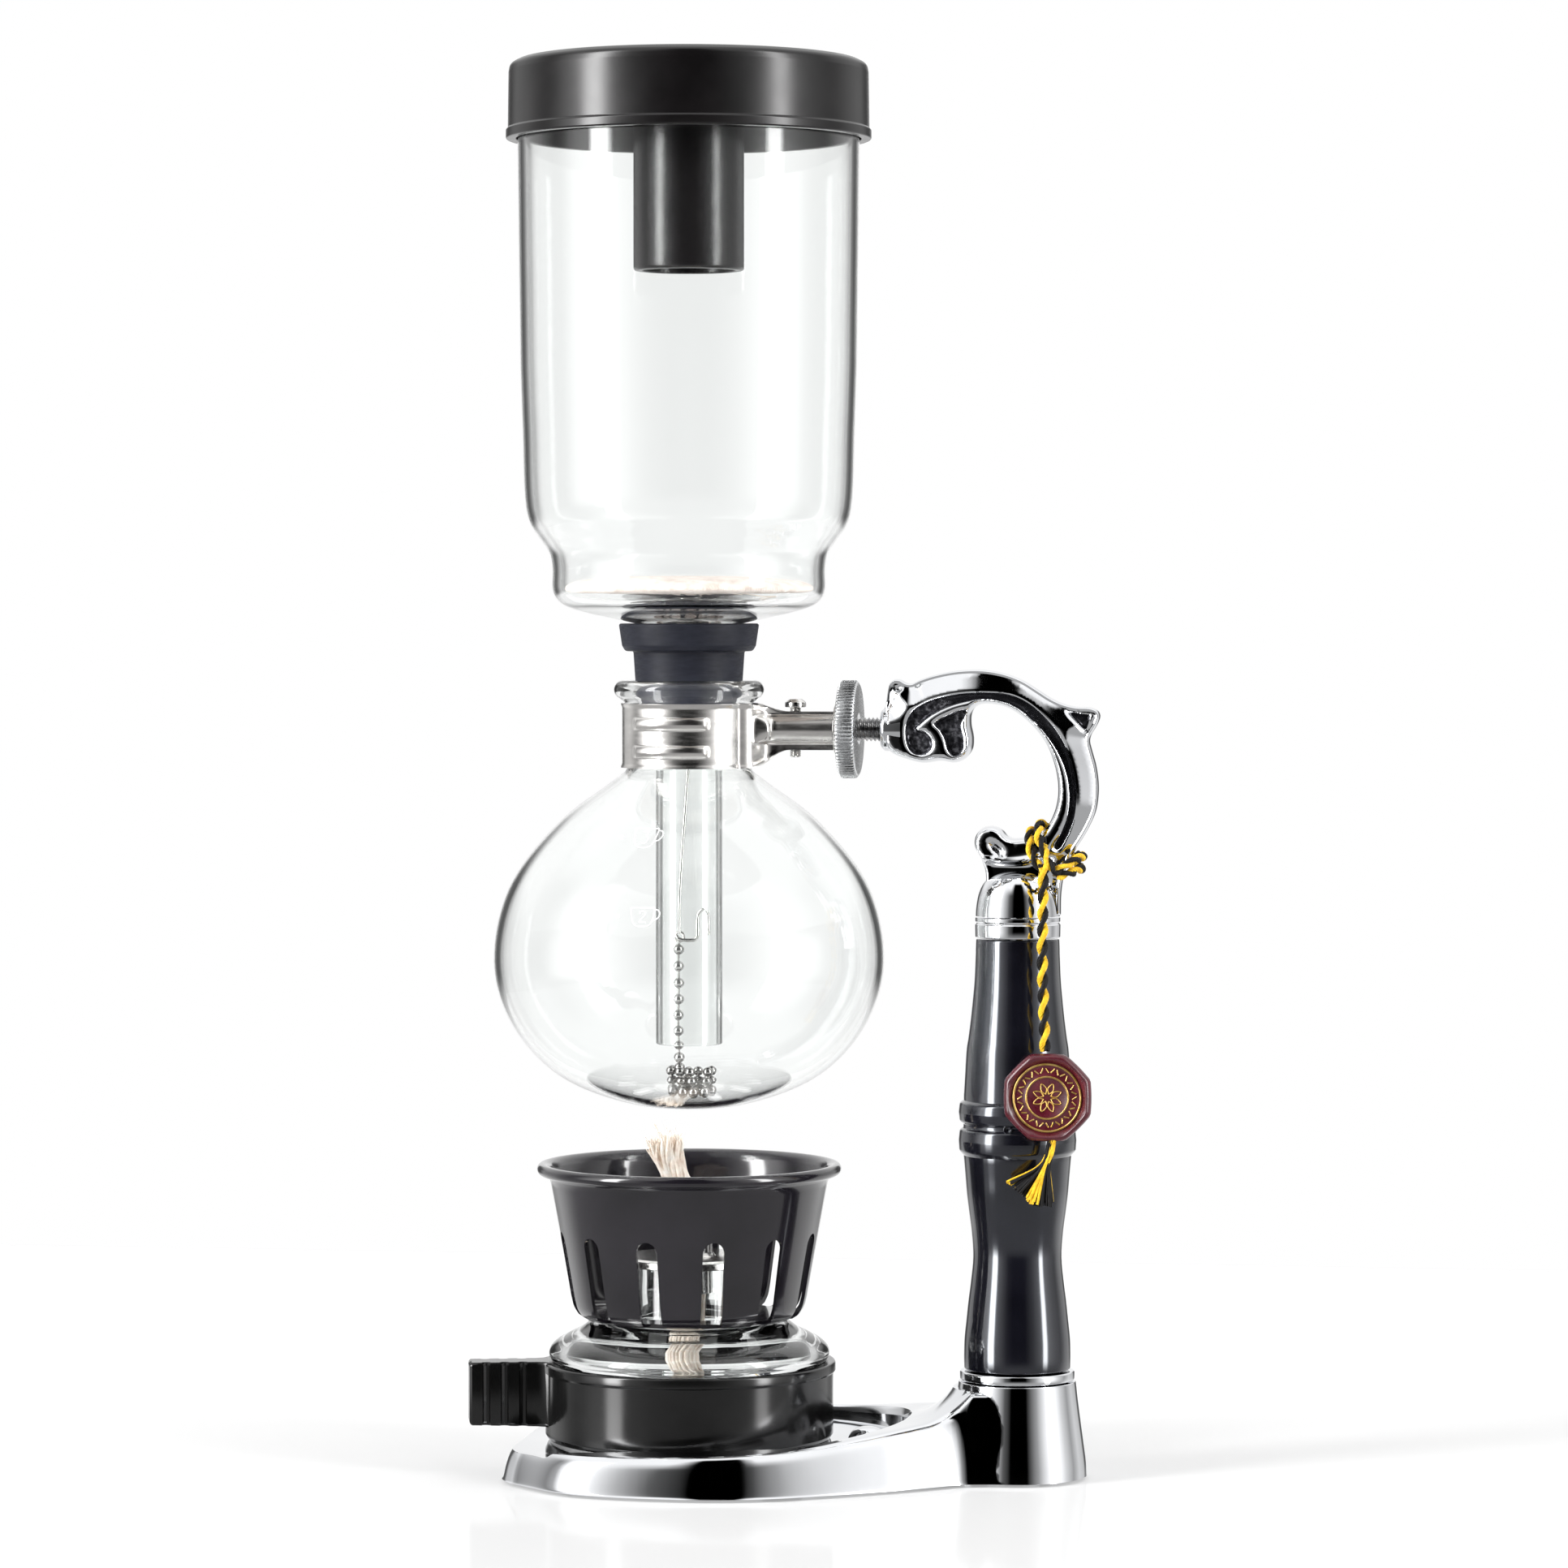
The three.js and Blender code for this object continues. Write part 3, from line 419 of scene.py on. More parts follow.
# ---- light: a white tent with a dark gap on the camera's side, bright strips and dark flags beside it ----
def make_light():
    scene = bpy.context.scene
    scene.view_settings.view_transform = "Standard"
    world = bpy.data.worlds.new("tent")
    scene.world = world
    world.use_nodes = True
    tree = world.node_tree
    tree.nodes.clear()

    def node(kind, **values):
        return add_node(tree, kind, **values)

    def math_node(operation, a, b):
        made = node("ShaderNodeMath", operation=operation)
        for socket, value in zip(made.inputs, (a, b)):
            if isinstance(value, (int, float)):
                socket.default_value = value
            else:
                tree.links.new(value, socket)
        return made.outputs[0]

    def levels(stops):
        """Brightness by the angle round the object, in degrees from the camera's side."""
        return add_ramp(tree, around, [(degrees / 360 + 0.5, (level, level, level)) for degrees,
            level in stops])

    coordinates = node("ShaderNodeTexCoord")
    split = node("ShaderNodeSeparateXYZ")
    tree.links.new(coordinates.outputs["Generated"], split.inputs[0])
    x, y, z = split.outputs
    angle = math_node("ARCTAN2", x, math_node("MULTIPLY", y, -1.0))
    turned_angle = math_node("SUBTRACT", angle, CAMERA_TURN)
    around = math_node("ADD", math_node("DIVIDE", turned_angle, TAU), 0.5)

    sides = levels([
        (-179, 1.0), (-168, 1.0), (-165, 0.14), (-152, 0.1), (-144, 0.6), (-122, 0.75), (-102, 0.28),
        (-94, 0.5), (-82, 1.8), (-70, 2.4), (-67, 19.0), (-56, 19.0), (-53, 1.3), (-38, 0.6),
        (-26, 0.12), (-14, 0.0), (15, 0.0), (21, 0.1), (34, 0.4), (52, 1.2), (55, 1.8), (57, 15.0),
        (65, 15.0), (68, 1.6), (88, 0.8), (106, 0.4), (124, 0.75), (144, 0.6), (152, 0.1),
        (165, 0.14), (168, 1.0), (179, 1.0),
    ])

    def between(source, low, high):
        made = node("ShaderNodeMapRange", interpolation_type="SMOOTHSTEP")
        made.inputs["From Min"].default_value, made.inputs["From Max"].default_value = low, high
        tree.links.new(source, made.inputs["Value"])
        return made.outputs["Result"]

    def toward(share, under, over):
        made = node("ShaderNodeMix", data_type="FLOAT")
        tree.links.new(share, made.inputs["Factor"])
        tree.links.new(under, made.inputs["A"])
        if isinstance(over, float):
            made.inputs["B"].default_value = over
        else:
            tree.links.new(over, made.inputs["B"])
        return made.outputs["Result"]

    behind = between(y, 0.2, 0.6)
    strength = toward(math_node("MULTIPLY", behind, between(z, 0.14, 0.34)), sides, 1.0)
    clear_of_card = levels([(-27, 1.0), (-16, 0.0), (17, 0.0), (27, 1.0)])
    strength = toward(math_node("MULTIPLY", between(z, 0.5, 0.8), clear_of_card), strength, 1.2)
    strength = toward(between(z, 0.9, 0.97), strength, 1.2)
    below = math_node("ADD", math_node("MULTIPLY", behind, 0.5), 0.45)
    strength = toward(between(math_node("MULTIPLY", z, -1.0), 0.1, 0.26), strength, below)

    light_path = node("ShaderNodeLightPath")
    seen = node("ShaderNodeMix", data_type="FLOAT")
    tree.links.new(light_path.outputs["Is Camera Ray"], seen.inputs["Factor"])
    tree.links.new(strength, seen.inputs["A"])
    seen.inputs["B"].default_value = 1.0
    background = node("ShaderNodeBackground")
    background.inputs["Color"].default_value = (1, 1, 1, 1)
    tree.links.new(seen.outputs["Result"], background.inputs["Strength"])
    output = node("ShaderNodeOutputWorld")
    tree.links.new(background.outputs[0], output.inputs["Surface"])

    floor_mesh = bpy.data.meshes.new("floor")
    reach = 0.45
    floor_mesh.from_pydata([(-reach, -reach, 0), (reach, -reach, 0), (reach, reach, 0),
        (-reach, reach, 0)], [], [(0, 1, 2, 3)])
    floor = bpy.data.objects.new("floor", floor_mesh)
    scene.collection.objects.link(floor)
    floor.visible_glossy = False
    paint = bpy.data.materials.new("floor_paper")
    paint.use_nodes = True
    nodes, links = paint.node_tree.nodes, paint.node_tree.links
    nodes.clear()
    diffuse, glow, shine = (nodes.new(k) for k in ("ShaderNodeBsdfDiffuse", "ShaderNodeEmission",
        "ShaderNodeBsdfGlossy"))
    diffuse.inputs["Color"].default_value = (0.62, 0.62, 0.62, 1)
    glow.inputs["Strength"].default_value = 0.24
    shine.inputs["Roughness"].default_value = 0.09
    both, mirror = nodes.new("ShaderNodeAddShader"), nodes.new("ShaderNodeMixShader")
    mirror.inputs[0].default_value = 0.16
    links.new(diffuse.outputs[0], both.inputs[0])
    links.new(glow.outputs[0], both.inputs[1])
    links.new(both.outputs[0], mirror.inputs[1])
    links.new(shine.outputs[0], mirror.inputs[2])
    out = nodes.new("ShaderNodeOutputMaterial")
    links.new(mirror.outputs[0], out.inputs["Surface"])
    floor_mesh.materials.append(paint)


make_light()


# ---- every CAD node gets a finish; most are then replaced by a finer piece ----
NODE_LOOKS = {"base_casting": "chrome", "scroll_arm": "chrome", "tie_rod": "zinc",
    "tie_rod_washer": "zinc", "tie_rod_nut": "zinc", "neck_band": "stainless", "filter_disc": "wire",
    "wick_holder": "zinc", "wick": "wick", "wind_guard": "enamel", "filter_cloth": "flannel",
    "lamp_holder": "holder",}
for node_name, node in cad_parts.items():
    node.data.materials.clear()
    node.data.materials.append(LOOKS[NODE_LOOKS.get(node_name, "zinc")])


# ---- tag: twisted cord round the foot of the scroll, seal and frayed ends ----
CORD_PATH = smooth([(88.8, -11.2, 151), (88.8, -12, 146), (88.8, -12.8, 138), (88.8, -13.8, 128),
    (89.2, -15, 118), (89.8, -16.6, 106.3)], 14)
CORD_RADIUS = 1.45
LAY_LENGTH = 8.0
SEAL_X, SEAL_Y, SEAL_Z = 90.4, -16.8, 95


def twisted(path, radius=CORD_RADIUS, lay=LAY_LENGTH, phase=0.0, threads=5):
    """Two plies laid round each other, each of a few fine threads. Returns meshes for the two plies."""
    line = resample(path, 0.35)
    lengths = distances(line)
    u, v = line_frames(line)
    plies = []
    for ply in (0, 1):
        turn = phase + ply * math.pi + TAU * lengths / lay
        out = np.cos(turn)[:, None] * u + np.sin(turn)[:, None] * v
        round_ = -np.sin(turn)[:, None] * u + np.cos(turn)[:, None] * v
        centre = line + out * radius * 0.47
        meshes = [tube(centre, radius * 0.4, 10)]
        for thread in range(threads):
            spin = TAU * thread / threads + TAU * lengths / (lay * 0.7)
            place = centre + (np.cos(spin)[:, None] * out + np.sin(spin)[:, None] * round_) * radius * 0.29
            meshes.append(tube(place, radius * 0.24, 6))
        plies.append(merged(*meshes))
    return plies


def two_colour(name, plies, body, replaces):
    """One piece from a yellow mesh and a black one."""
    made = piece(name, merged(*plies), body, "yellow_ply black_ply", replaces, 70)
    split_at = len(plies[0][1])
    made.data.polygons.foreach_set("material_index", [0 if i < split_at else 1
        for i in range(len(made.data.polygons))])
    return made


hanging = two_colour("tag_hanging_cord", twisted(CORD_PATH), "tag", ["tag_cord"])


# A hitch: the cord goes twice over the saddle, round the back of the scroll's foot and out beside the handle.
LOOP_PATH = smooth([(89.2, -11, 149), (87.6, -10.2, 150.6), (85.8, -8.3, 153.2), (84.9, -7, 156),
    (84.8, -3.6, 158.4), (85.1, 2, 158.6), (86.8, 6.9, 156.8), (90.2, 8, 154), (94.4, 7, 152.8),
    (96.8, 3, 152.6), (97.2, -3, 152.6), (96, -7.6, 152), (93.6, -9.9, 150.6), (91.4, -11, 149.4),
    (90.2, -11.4, 151.4), (88.8, -9.4, 154.2), (87.4, -7.6, 157), (87, -3.8, 160.1), (87.3, 2, 160.3),
    (89.2, 6.8, 157.8), (92.8, 7.8, 154), (95.6, 5.6, 150.4), (96.8, 1, 149.6), (97, -4, 149.8),
    (95.2, -8.6, 149), (92, -10.6, 148.2)], 8)
loop = two_colour("tag_saddle_loop", twisted(LOOP_PATH, 1.25, 7.4, 0.6), "stand", ["tag_loop"])


def seal():
    """Rounded octagon of pressed wax: raised rim, two gold rings, a plain rosette in the middle."""
    rings = []
    half_thick, around = 1.9, 160
    front = SEAL_Y - 2.0

    def spot(radius, angle, y):
        return (SEAL_X + radius * math.cos(angle), y, SEAL_Z + radius * math.sin(angle))

    def circle(radius, y, count=around):
        return [spot(radius, TAU * i / count, y) for i in range(count)]

    def outline(scale_out, y, squareness=1.0):
        points = []
        for i in range(around):
            angle = TAU * i / around
            sector = (angle + TAU / 16) % (TAU / 8) - TAU / 16
            flat = 10.55 / math.cos(sector)
            radius = min(flat, 11.25) * 0.72 + 10.9 * 0.28
            radius = 10.75 + (radius - 10.75) * squareness + scale_out
            points.append(spot(radius, angle, y))
        return points

    rings.append(circle(0.01, SEAL_Y + half_thick))
    rings.append(outline(-1.6, SEAL_Y + half_thick))
    for k in range(9):
        angle = math.pi * k / 8
        rings.append(outline(-1.5 + 1.5 * math.sin(angle), SEAL_Y + half_thick * math.cos(angle)))
    rings.append(outline(-1.1, front - 0.25, 0.85))
    rings.append(outline(-1.7, front + 0.1, 0.6))
    for radius, sunk in ((8.9, 0.7), (8.5, 1), (5.5, 1), (5.3, 0.85), (4.9, 0.85), (4.7, 1), (0.01, 1)):
        rings.append(circle(radius, front + sunk))
    body = sections(rings)
    gold = []
    for radius, bar in ((8.15, 0.3), (5.1, 0.24)):
        gold.append(tube(circle(radius, front + 0.85, 120), bar, 8, closed=True))
    for i in range(32):
        angle, lean = TAU * i / 32, 0.055 * (-1) ** i
        path = [spot(r, angle + s, front + 0.95) for r, s in ((6.1, -lean), (7.2, lean))]
        gold.append(tube(resample(path, 0.3), 0.2, 6))
    for i in range(8):
        angle = TAU * (i + 0.5) / 8
        petal = ((0.9, 0), (2.2, 0.32), (3.6, 0), (2.2, -0.32), (0.9, 0))
        path = [spot(r, angle + s, front + 0.95) for r, s in petal]
        gold.append(tube(smooth(path, 5), 0.18, 6))
    wax_piece = piece("seal_wax_disc", body, "tag", "wax", ["tag_seal"], 60)
    gold_piece = piece("seal_gold_rings", merged(*gold), "tag", "gold", (), 60)
    return wax_piece, gold_piece


seal_wax, seal_gold = seal()


def tassel():
    """The plies come out under the seal to one side and fray into a flat fan of loose strands."""
    rng = random.Random(11)
    yellow, black = [], []
    for i in range(96):
        across = rng.random()
        depth = rng.uniform(-1.5, 1.5)
        end = (80.4 + 11.2 * across, SEAL_Y + depth, 74.3 - 5.2 * ease(across * 1.5) + rng.uniform(-0.7, 0.7))
        points = [(91.6 + rng.uniform(-0.9, 0.9), SEAL_Y + depth * 0.6, 85), (91 + rng.uniform(-0.8, 0.8),
            SEAL_Y + depth * 0.6, 82), (88.2 + 2.6 * across, SEAL_Y + depth * 0.9, 78.4 - across), end]
        mesh = tube(smooth(points, 6), rng.uniform(0.26, 0.42), 6)
        (yellow if across < 0.1 or 0.42 < across < 0.5 or i % 6 == 0 else black).append(mesh)
    return merged(*yellow), merged(*black)


tassel_piece = two_colour("tag_frayed_ends", tassel(), "tag", ["tag_tassel"])


# ---- flask ----
BULB_POINTS = [(15.6, 91.4), (32.8, 98.6), (43.6, 110.6), (48.1, 125), (44.5, 144.2), (31.6, 161),
    (18.4, 171)]


def flask():
    """The bulb runs out from the axis, up its neck and over the lip, and back down inside a 1.6 mm wall."""
    per = 10
    bulb = smooth([(-15.6, 91.4), (0, 90), *BULB_POINTS, (15.4, 173.6), (15.4, 176)], per)[per:]
    bulb[0] = (0, bulb[0][1])
    inner = shifted(bulb, 1.6)
    inner[0][0] = 0
    lip = smooth([(15.4, 186), (15.45, 189.4), (16.6, 190.6), (18.1, 191.8), (18.5, 193.4), (17.6, 195),
        (15.9, 195.4), (14.5, 194.2), (13.8, 191.6), (13.8, 188)], 6)
    return turned([*bulb, *lip, *[tuple(p) for p in inner[::-1]]], 160)


flask_piece = piece("flask_bulb", flask(), "flask", "glass", ["flask_glass"], 60)


# ---- upper chamber ----
def chamber():
    """Bowl and stem in one wall, from the rim down to the stem's foot and back up inside."""
    rim, wall = 344.6, 1.9
    stem_upper, stem_foot = 180, 105.6
    stem, bore = 8.2, 7.3
    outer = [(42, rim), (42, 336), (42, 326), (41.75, 300),
        *smooth([(41.4, 272), (40.9, 257), (40.1, 238), (38.9, 233.6), (36.4, 230), (34.3, 226.8),
        (33.6, 223), (33.6, 218), (32.9, 215.9), (30.8, 214), (26, 212.3), (17.6, 210.4), (11.6, 208.8),
        (9, 206.6), (8.2, 203)], 6)]
    inner = shifted(outer, -wall)
    inner[0] = (40.1, rim)
    inner[:, 0] = np.where(inner[:, 1] < 208, np.maximum(inner[:, 0], bore), inner[:, 0])
    inner[-1] = (bore, 201)
    foot = fillet([(stem, stem_upper), (stem, stem_foot, 0.4), (bore, stem_foot, 0.4), (bore, stem_upper)],
        closed=False)
    top = [(40.5, rim), (41.6, rim)]
    profile = [*[tuple(p) for p in outer[1:]], *foot, *[tuple(p) for p in inner[::-1][:-1]],
        (40.1, rim - 0.5), *top, (42, rim - 0.5)]
    return turned(profile, 160)


chamber_piece = piece("chamber_bowl_and_stem", chamber(), "chamber", "glass",
    ["chamber_glass"], 60)
piece("stopper", turned(fillet([(8.3, 202.6), (9.2, 205), (10.6, 207.2), (16.8, 209.5, 0.4),
    (17.25, 209.1, 0.4), (16.5, 204, 1.2), (15.7, 202.6, 1.2), (13.7, 202.6, 0.5), (13.2, 195),
    (12.4, 180.6, 0.6), (11.6, 180, 0.4), (8.3, 180)]), 128), "chamber", "rubber",
    ["rubber_stopper"])


# ---- lid ----
piece("lid_cap_and_socket", turned(fillet([(0, 346.7), (38, 346.7, 0.5), (39, 347.5, 0.6),
    (41.7, 347.5, 2), (43.9, 346.4, 2.4), (44.2, 344.5, 1), (44.4, 330.9, 0.3), (44.9, 330.4, 0.4),
    (44.9, 328.2, 0.5), (42.4, 328.2, 0.3), (42.4, 344.9, 0.4), (13.6, 344.9, 0.5), (13.6, 296, 0.9),
    (11.4, 296, 0.4), (11.4, 344.5), (0, 344.5)], closed=False), 192), "lid", "lid", ["lid"])


# ---- handle ----
ROD_BORE = 3.3       # radius of the hole that the tie rod runs through


def grip():
    """Waist, double ring and upper part."""
    waist = smooth([(13.1, 30), (13.0, 34), (12.5, 39), (12, 43.7), (11.4, 48.4), (10.85, 54.4),
        (11.2, 60.3), (11.8, 65), (12.4, 69.8), (12.8, 74.6), (13.2, 79.2)], 4)
    rings = fillet([(13.2, 79.4, 0.3), (14.3, 80.6, 1.2), (14.45, 83.1, 1.6), (14.2, 85.6, 1.0),
        (13.3, 86.2, 0.4), (13.3, 87.2, 0.4), (14.2, 87.8, 1.0), (14.45, 90, 1.6), (14.2, 92.2, 1.0),
        (13.2, 92.9, 0.4)], closed=False)
    upper = smooth([(13.2, 94), (12.9, 99), (12.5, 105.5), (12.1, 108), (11.5, 112.7), (11, 117.5),
        (10.6, 122), (10.3, 129)], 4)
    profile = [(ROD_BORE, 26.9), *fillet([(ROD_BORE, 26.9), (13.05, 26.9, 0.6), (13.1, 29)],
        closed=False)[1:-1], *waist, *rings, *upper, *fillet([(10.3, 130), (10.2, 132.4, 0.4),
        (ROD_BORE, 132.4)], closed=False)]
    return turned(profile, 160, (HANDLE, 0))


piece("grip_turned", grip(), "stand", "lacquer", ["handle_grip"])
plug = turned(fillet([(0, 0), (0.55, 0, 0.2), (0.75, -0.3, 0.15), (1.1, -0.3, 0.2), (1.25, 0.9)],
    closed=False), 32)
piece("grip_plug", ([(80.4 + x, z - 13.5, 86.7 + y) for x, y, z in plug[0]], plug[1]), "stand",
    "lacquer")
piece("grip_lower_collar", turned(fillet([(ROD_BORE, 24.3), (14.1, 24.3, 0.5), (14.1, 26.6, 0.6),
    (ROD_BORE, 26.6)]), 128, (HANDLE, 0)), "stand", "chrome", ["lower_collar"])
piece("grip_upper_ferrule", turned(fillet([(ROD_BORE, 132.7), (10.45, 132.7, 0.4), (10.5, 135.9, 0.3),
    (10.15, 136.3, 0.2), (10.45, 136.7, 0.3), (10.45, 137.7, 0.2), (ROD_BORE, 137.7)]), 128, (HANDLE, 0)),
    "stand", "chrome", ["upper_ferrule"])
for index, (x, y) in enumerate([(-31, -20), (-31, 20), (28, -33), (28, 33), (62, 0)]):
    piece(f"base_foot_{index + 1}", turned(fillet([(0, 0), (4.8, 0, 0.5), (5, 4.2, 0.3), (0, 4.2)],
        closed=False), 48, (x, y)), "stand", "rubber", [f"rubber_foot_{index + 1}"])


# ---- lamp ----
bottle_piece = piece("lamp_bottle", turned([*fillet([(0, 11.2), (31, 11.2, 1.5), (33.2, 13.4, 1.5),
    (33.2, 27.3)], closed=False), *smooth([(34.2, 28), (34.7, 29.4), (34.2, 31), (32.5, 32.6),
    (29.5, 34.2), (26.5, 35.8), (24.9, 37)], 5), *fillet([(22.6, 37.9, 0.6), (15.8, 38.1, 0.6), (15.2, 40),
    (15.2, 51.9, 0.6), (12.6, 51.9, 0.6), (12.6, 38)], closed=False),
    *smooth([(13.2, 36.4), (16, 34.9), (21, 33.7), (24.5, 32.7), (28.5, 30.6), (30.2, 28.6), (30.4, 26)],
    4), *fillet([(30.4, 20), (30.4, 14, 1.8), (0, 14)], closed=False)], 128), "lamp",
    "thick_glass", ["lamp_reservoir"], 50)
for glass in (flask_piece, chamber_piece, bottle_piece):
    glass.visible_shadow = False


# ---- cutting and joining ----
def shaped(mesh):
    """A mesh object that booleans can use, in millimetres."""
    made = bpy.data.objects.new("shape", mesh_data("shape", *mesh))
    bpy.context.scene.collection.objects.link(made)
    return made


def combine(mesh, *steps):
    """Applies boolean steps, each a pair of operation and mesh."""
    base = shaped(mesh)
    tools = []
    for operation, tool in steps:
        tools.append(shaped(tool))
        cutter = base.modifiers.new("step", "BOOLEAN")
        cutter.operation, cutter.solver, cutter.object = operation, "EXACT", tools[-1]
    result = base.evaluated_get(bpy.context.evaluated_depsgraph_get()).to_mesh()
    verts = [tuple(v.co) for v in result.vertices]
    faces = [list(p.vertices) for p in result.polygons]
    for made in (base, *tools):
        bpy.data.objects.remove(made)
    return verts, faces


def quadratic(a, b, c, steps=8):
    """Points along a bend from a to c that is drawn towards b."""
    a, b, c = (np.array(p, float) for p in (a, b, c))
    return [tuple(a * (1 - t) ** 2 + b * 2 * t * (1 - t) + c * t * t) for t in np.linspace(0, 1, steps + 1)]


def arc(x, y, radius, start, end, steps=24):
    """Points along part of a circle."""
    return [(x + radius * math.cos(t), y + radius * math.sin(t)) for t in np.linspace(start, end, steps + 1)]


def closed_resample(loop, step):
    """Points about a step apart round a closed line."""
    loop = [tuple(p) for p in loop]
    return resample([*loop, loop[0]], step)[:-1]


def inset_loop(loop, distance):
    """A closed counter-clockwise loop moved inwards."""
    return shifted(loop, distance, closed=True)


def edge_distance(points, loop, closed=True):
    """Distance of each point from a line."""
    points, a = np.array(points, float), np.array(loop, float)
    b = np.roll(a, -1, axis=0)
    if not closed:
        a, b = a[:-1], b[:-1]
    best = np.full(len(points), 1e9)
    for start, end in zip(a, b):
        run = end - start
        t = np.clip(((points - start) @ run) / max(run @ run, 1e-12), 0, 1)
        best = np.minimum(best, np.linalg.norm(points - start - t[:, None] * run, axis=1))
    return best


def inside(points, loop):
    """True for the points that a closed line holds."""
    points, a = np.array(points, float), np.array(loop, float)
    b = np.roll(a, -1, axis=0)
    held = np.zeros(len(points), bool)
    for (x0, y0), (x1, y1) in zip(a, b):
        if y0 == y1:
            continue
        crosses = (y0 > points[:, 1]) != (y1 > points[:, 1])
        held ^= crosses & (points[:, 0] < (x1 - x0) * (points[:, 1] - y0) / (y1 - y0) + x0)
    return held


def filled(loop, extra):
    """Triangles that fill a closed loop, through the extra points inside it."""
    loop, extra = np.array(loop, float), np.array(extra, float).reshape(-1, 2)
    points = [Vector(p) for p in (*loop, *extra)]
    count = len(loop)
    edges = [(i, (i + 1) % count) for i in range(count)]
    verts, _, faces, *_ = delaunay_2d_cdt(points, edges, [], 1, 1e-5)
    return np.array([tuple(v) for v in verts]), faces


def hex_points(loop, spacing, margin):
    """A triangular lattice of points inside a loop, no nearer to it than the margin."""
    low, high = np.min(loop, axis=0), np.max(loop, axis=0)
    rows = []
    row_step = spacing * 0.866
    for k, y in enumerate(np.arange(low[1], high[1], row_step)):
        xs = np.arange(low[0] + (k % 2) * spacing / 2, high[0], spacing)
        rows.append(np.stack([xs, np.full(len(xs), y)], axis=1))
    points = np.concatenate(rows)
    points = points[inside(points, loop)]
    return points[edge_distance(points, loop) > margin]


# ---- base casting ----
BOSS = 15.4          # radius of the boss where the casting's upper face meets it
POCKET_HALF = 38.4   # half the width of the channel that the lamp slides into
POCKET_FLOOR = 8
LAMP_END = -43       # x of the casting's end on the lamp's side
HANDLE_END = 17      # radius of its round end under the handle
UNDERSIDE = 0.8      # height of its lower edge


def base_plan():
    """The casting's outline from above, round from the lamp's end."""
    half = [(LAMP_END, 0), (LAMP_END, -20), *quadratic((LAMP_END, -20), (LAMP_END, -26.5),
        (-38.5, -32.5))[1:], *smooth([(-38.5, -32.5), (-22, -46.4), (4, -51), (24, -48), (53, -31.6),
        (70, -18.6)], 14)[1:], *quadratic((70, -18.6), (75.5, -17), (HANDLE, -HANDLE_END))[1:],
        *arc(HANDLE, 0, HANDLE_END, -math.pi / 2, 0)[1:]]
    whole = [*half, *[(x, -y) for x, y in half[-2:0:-1]]]
    return closed_resample(whole, 1.1)


def base_top(points):
    """Height of the upper face, which rises towards the handle and sweeps up into the boss."""
    points = np.array(points, float)
    along = np.clip((points[:, 0] - LAMP_END) / (HANDLE - LAMP_END), 0, 1)
    away = np.hypot(points[:, 0] - HANDLE, points[:, 1])
    u = np.clip((away - BOSS + 0.9) / 14, 0, 1)
    sweep = 10.5 * (1 - np.sqrt(1 - (1 - u) ** 2))
    return np.minimum(9 + 4.2 * along + 4.5 * ease((along - 0.55) / 0.45) + sweep, 22.5)


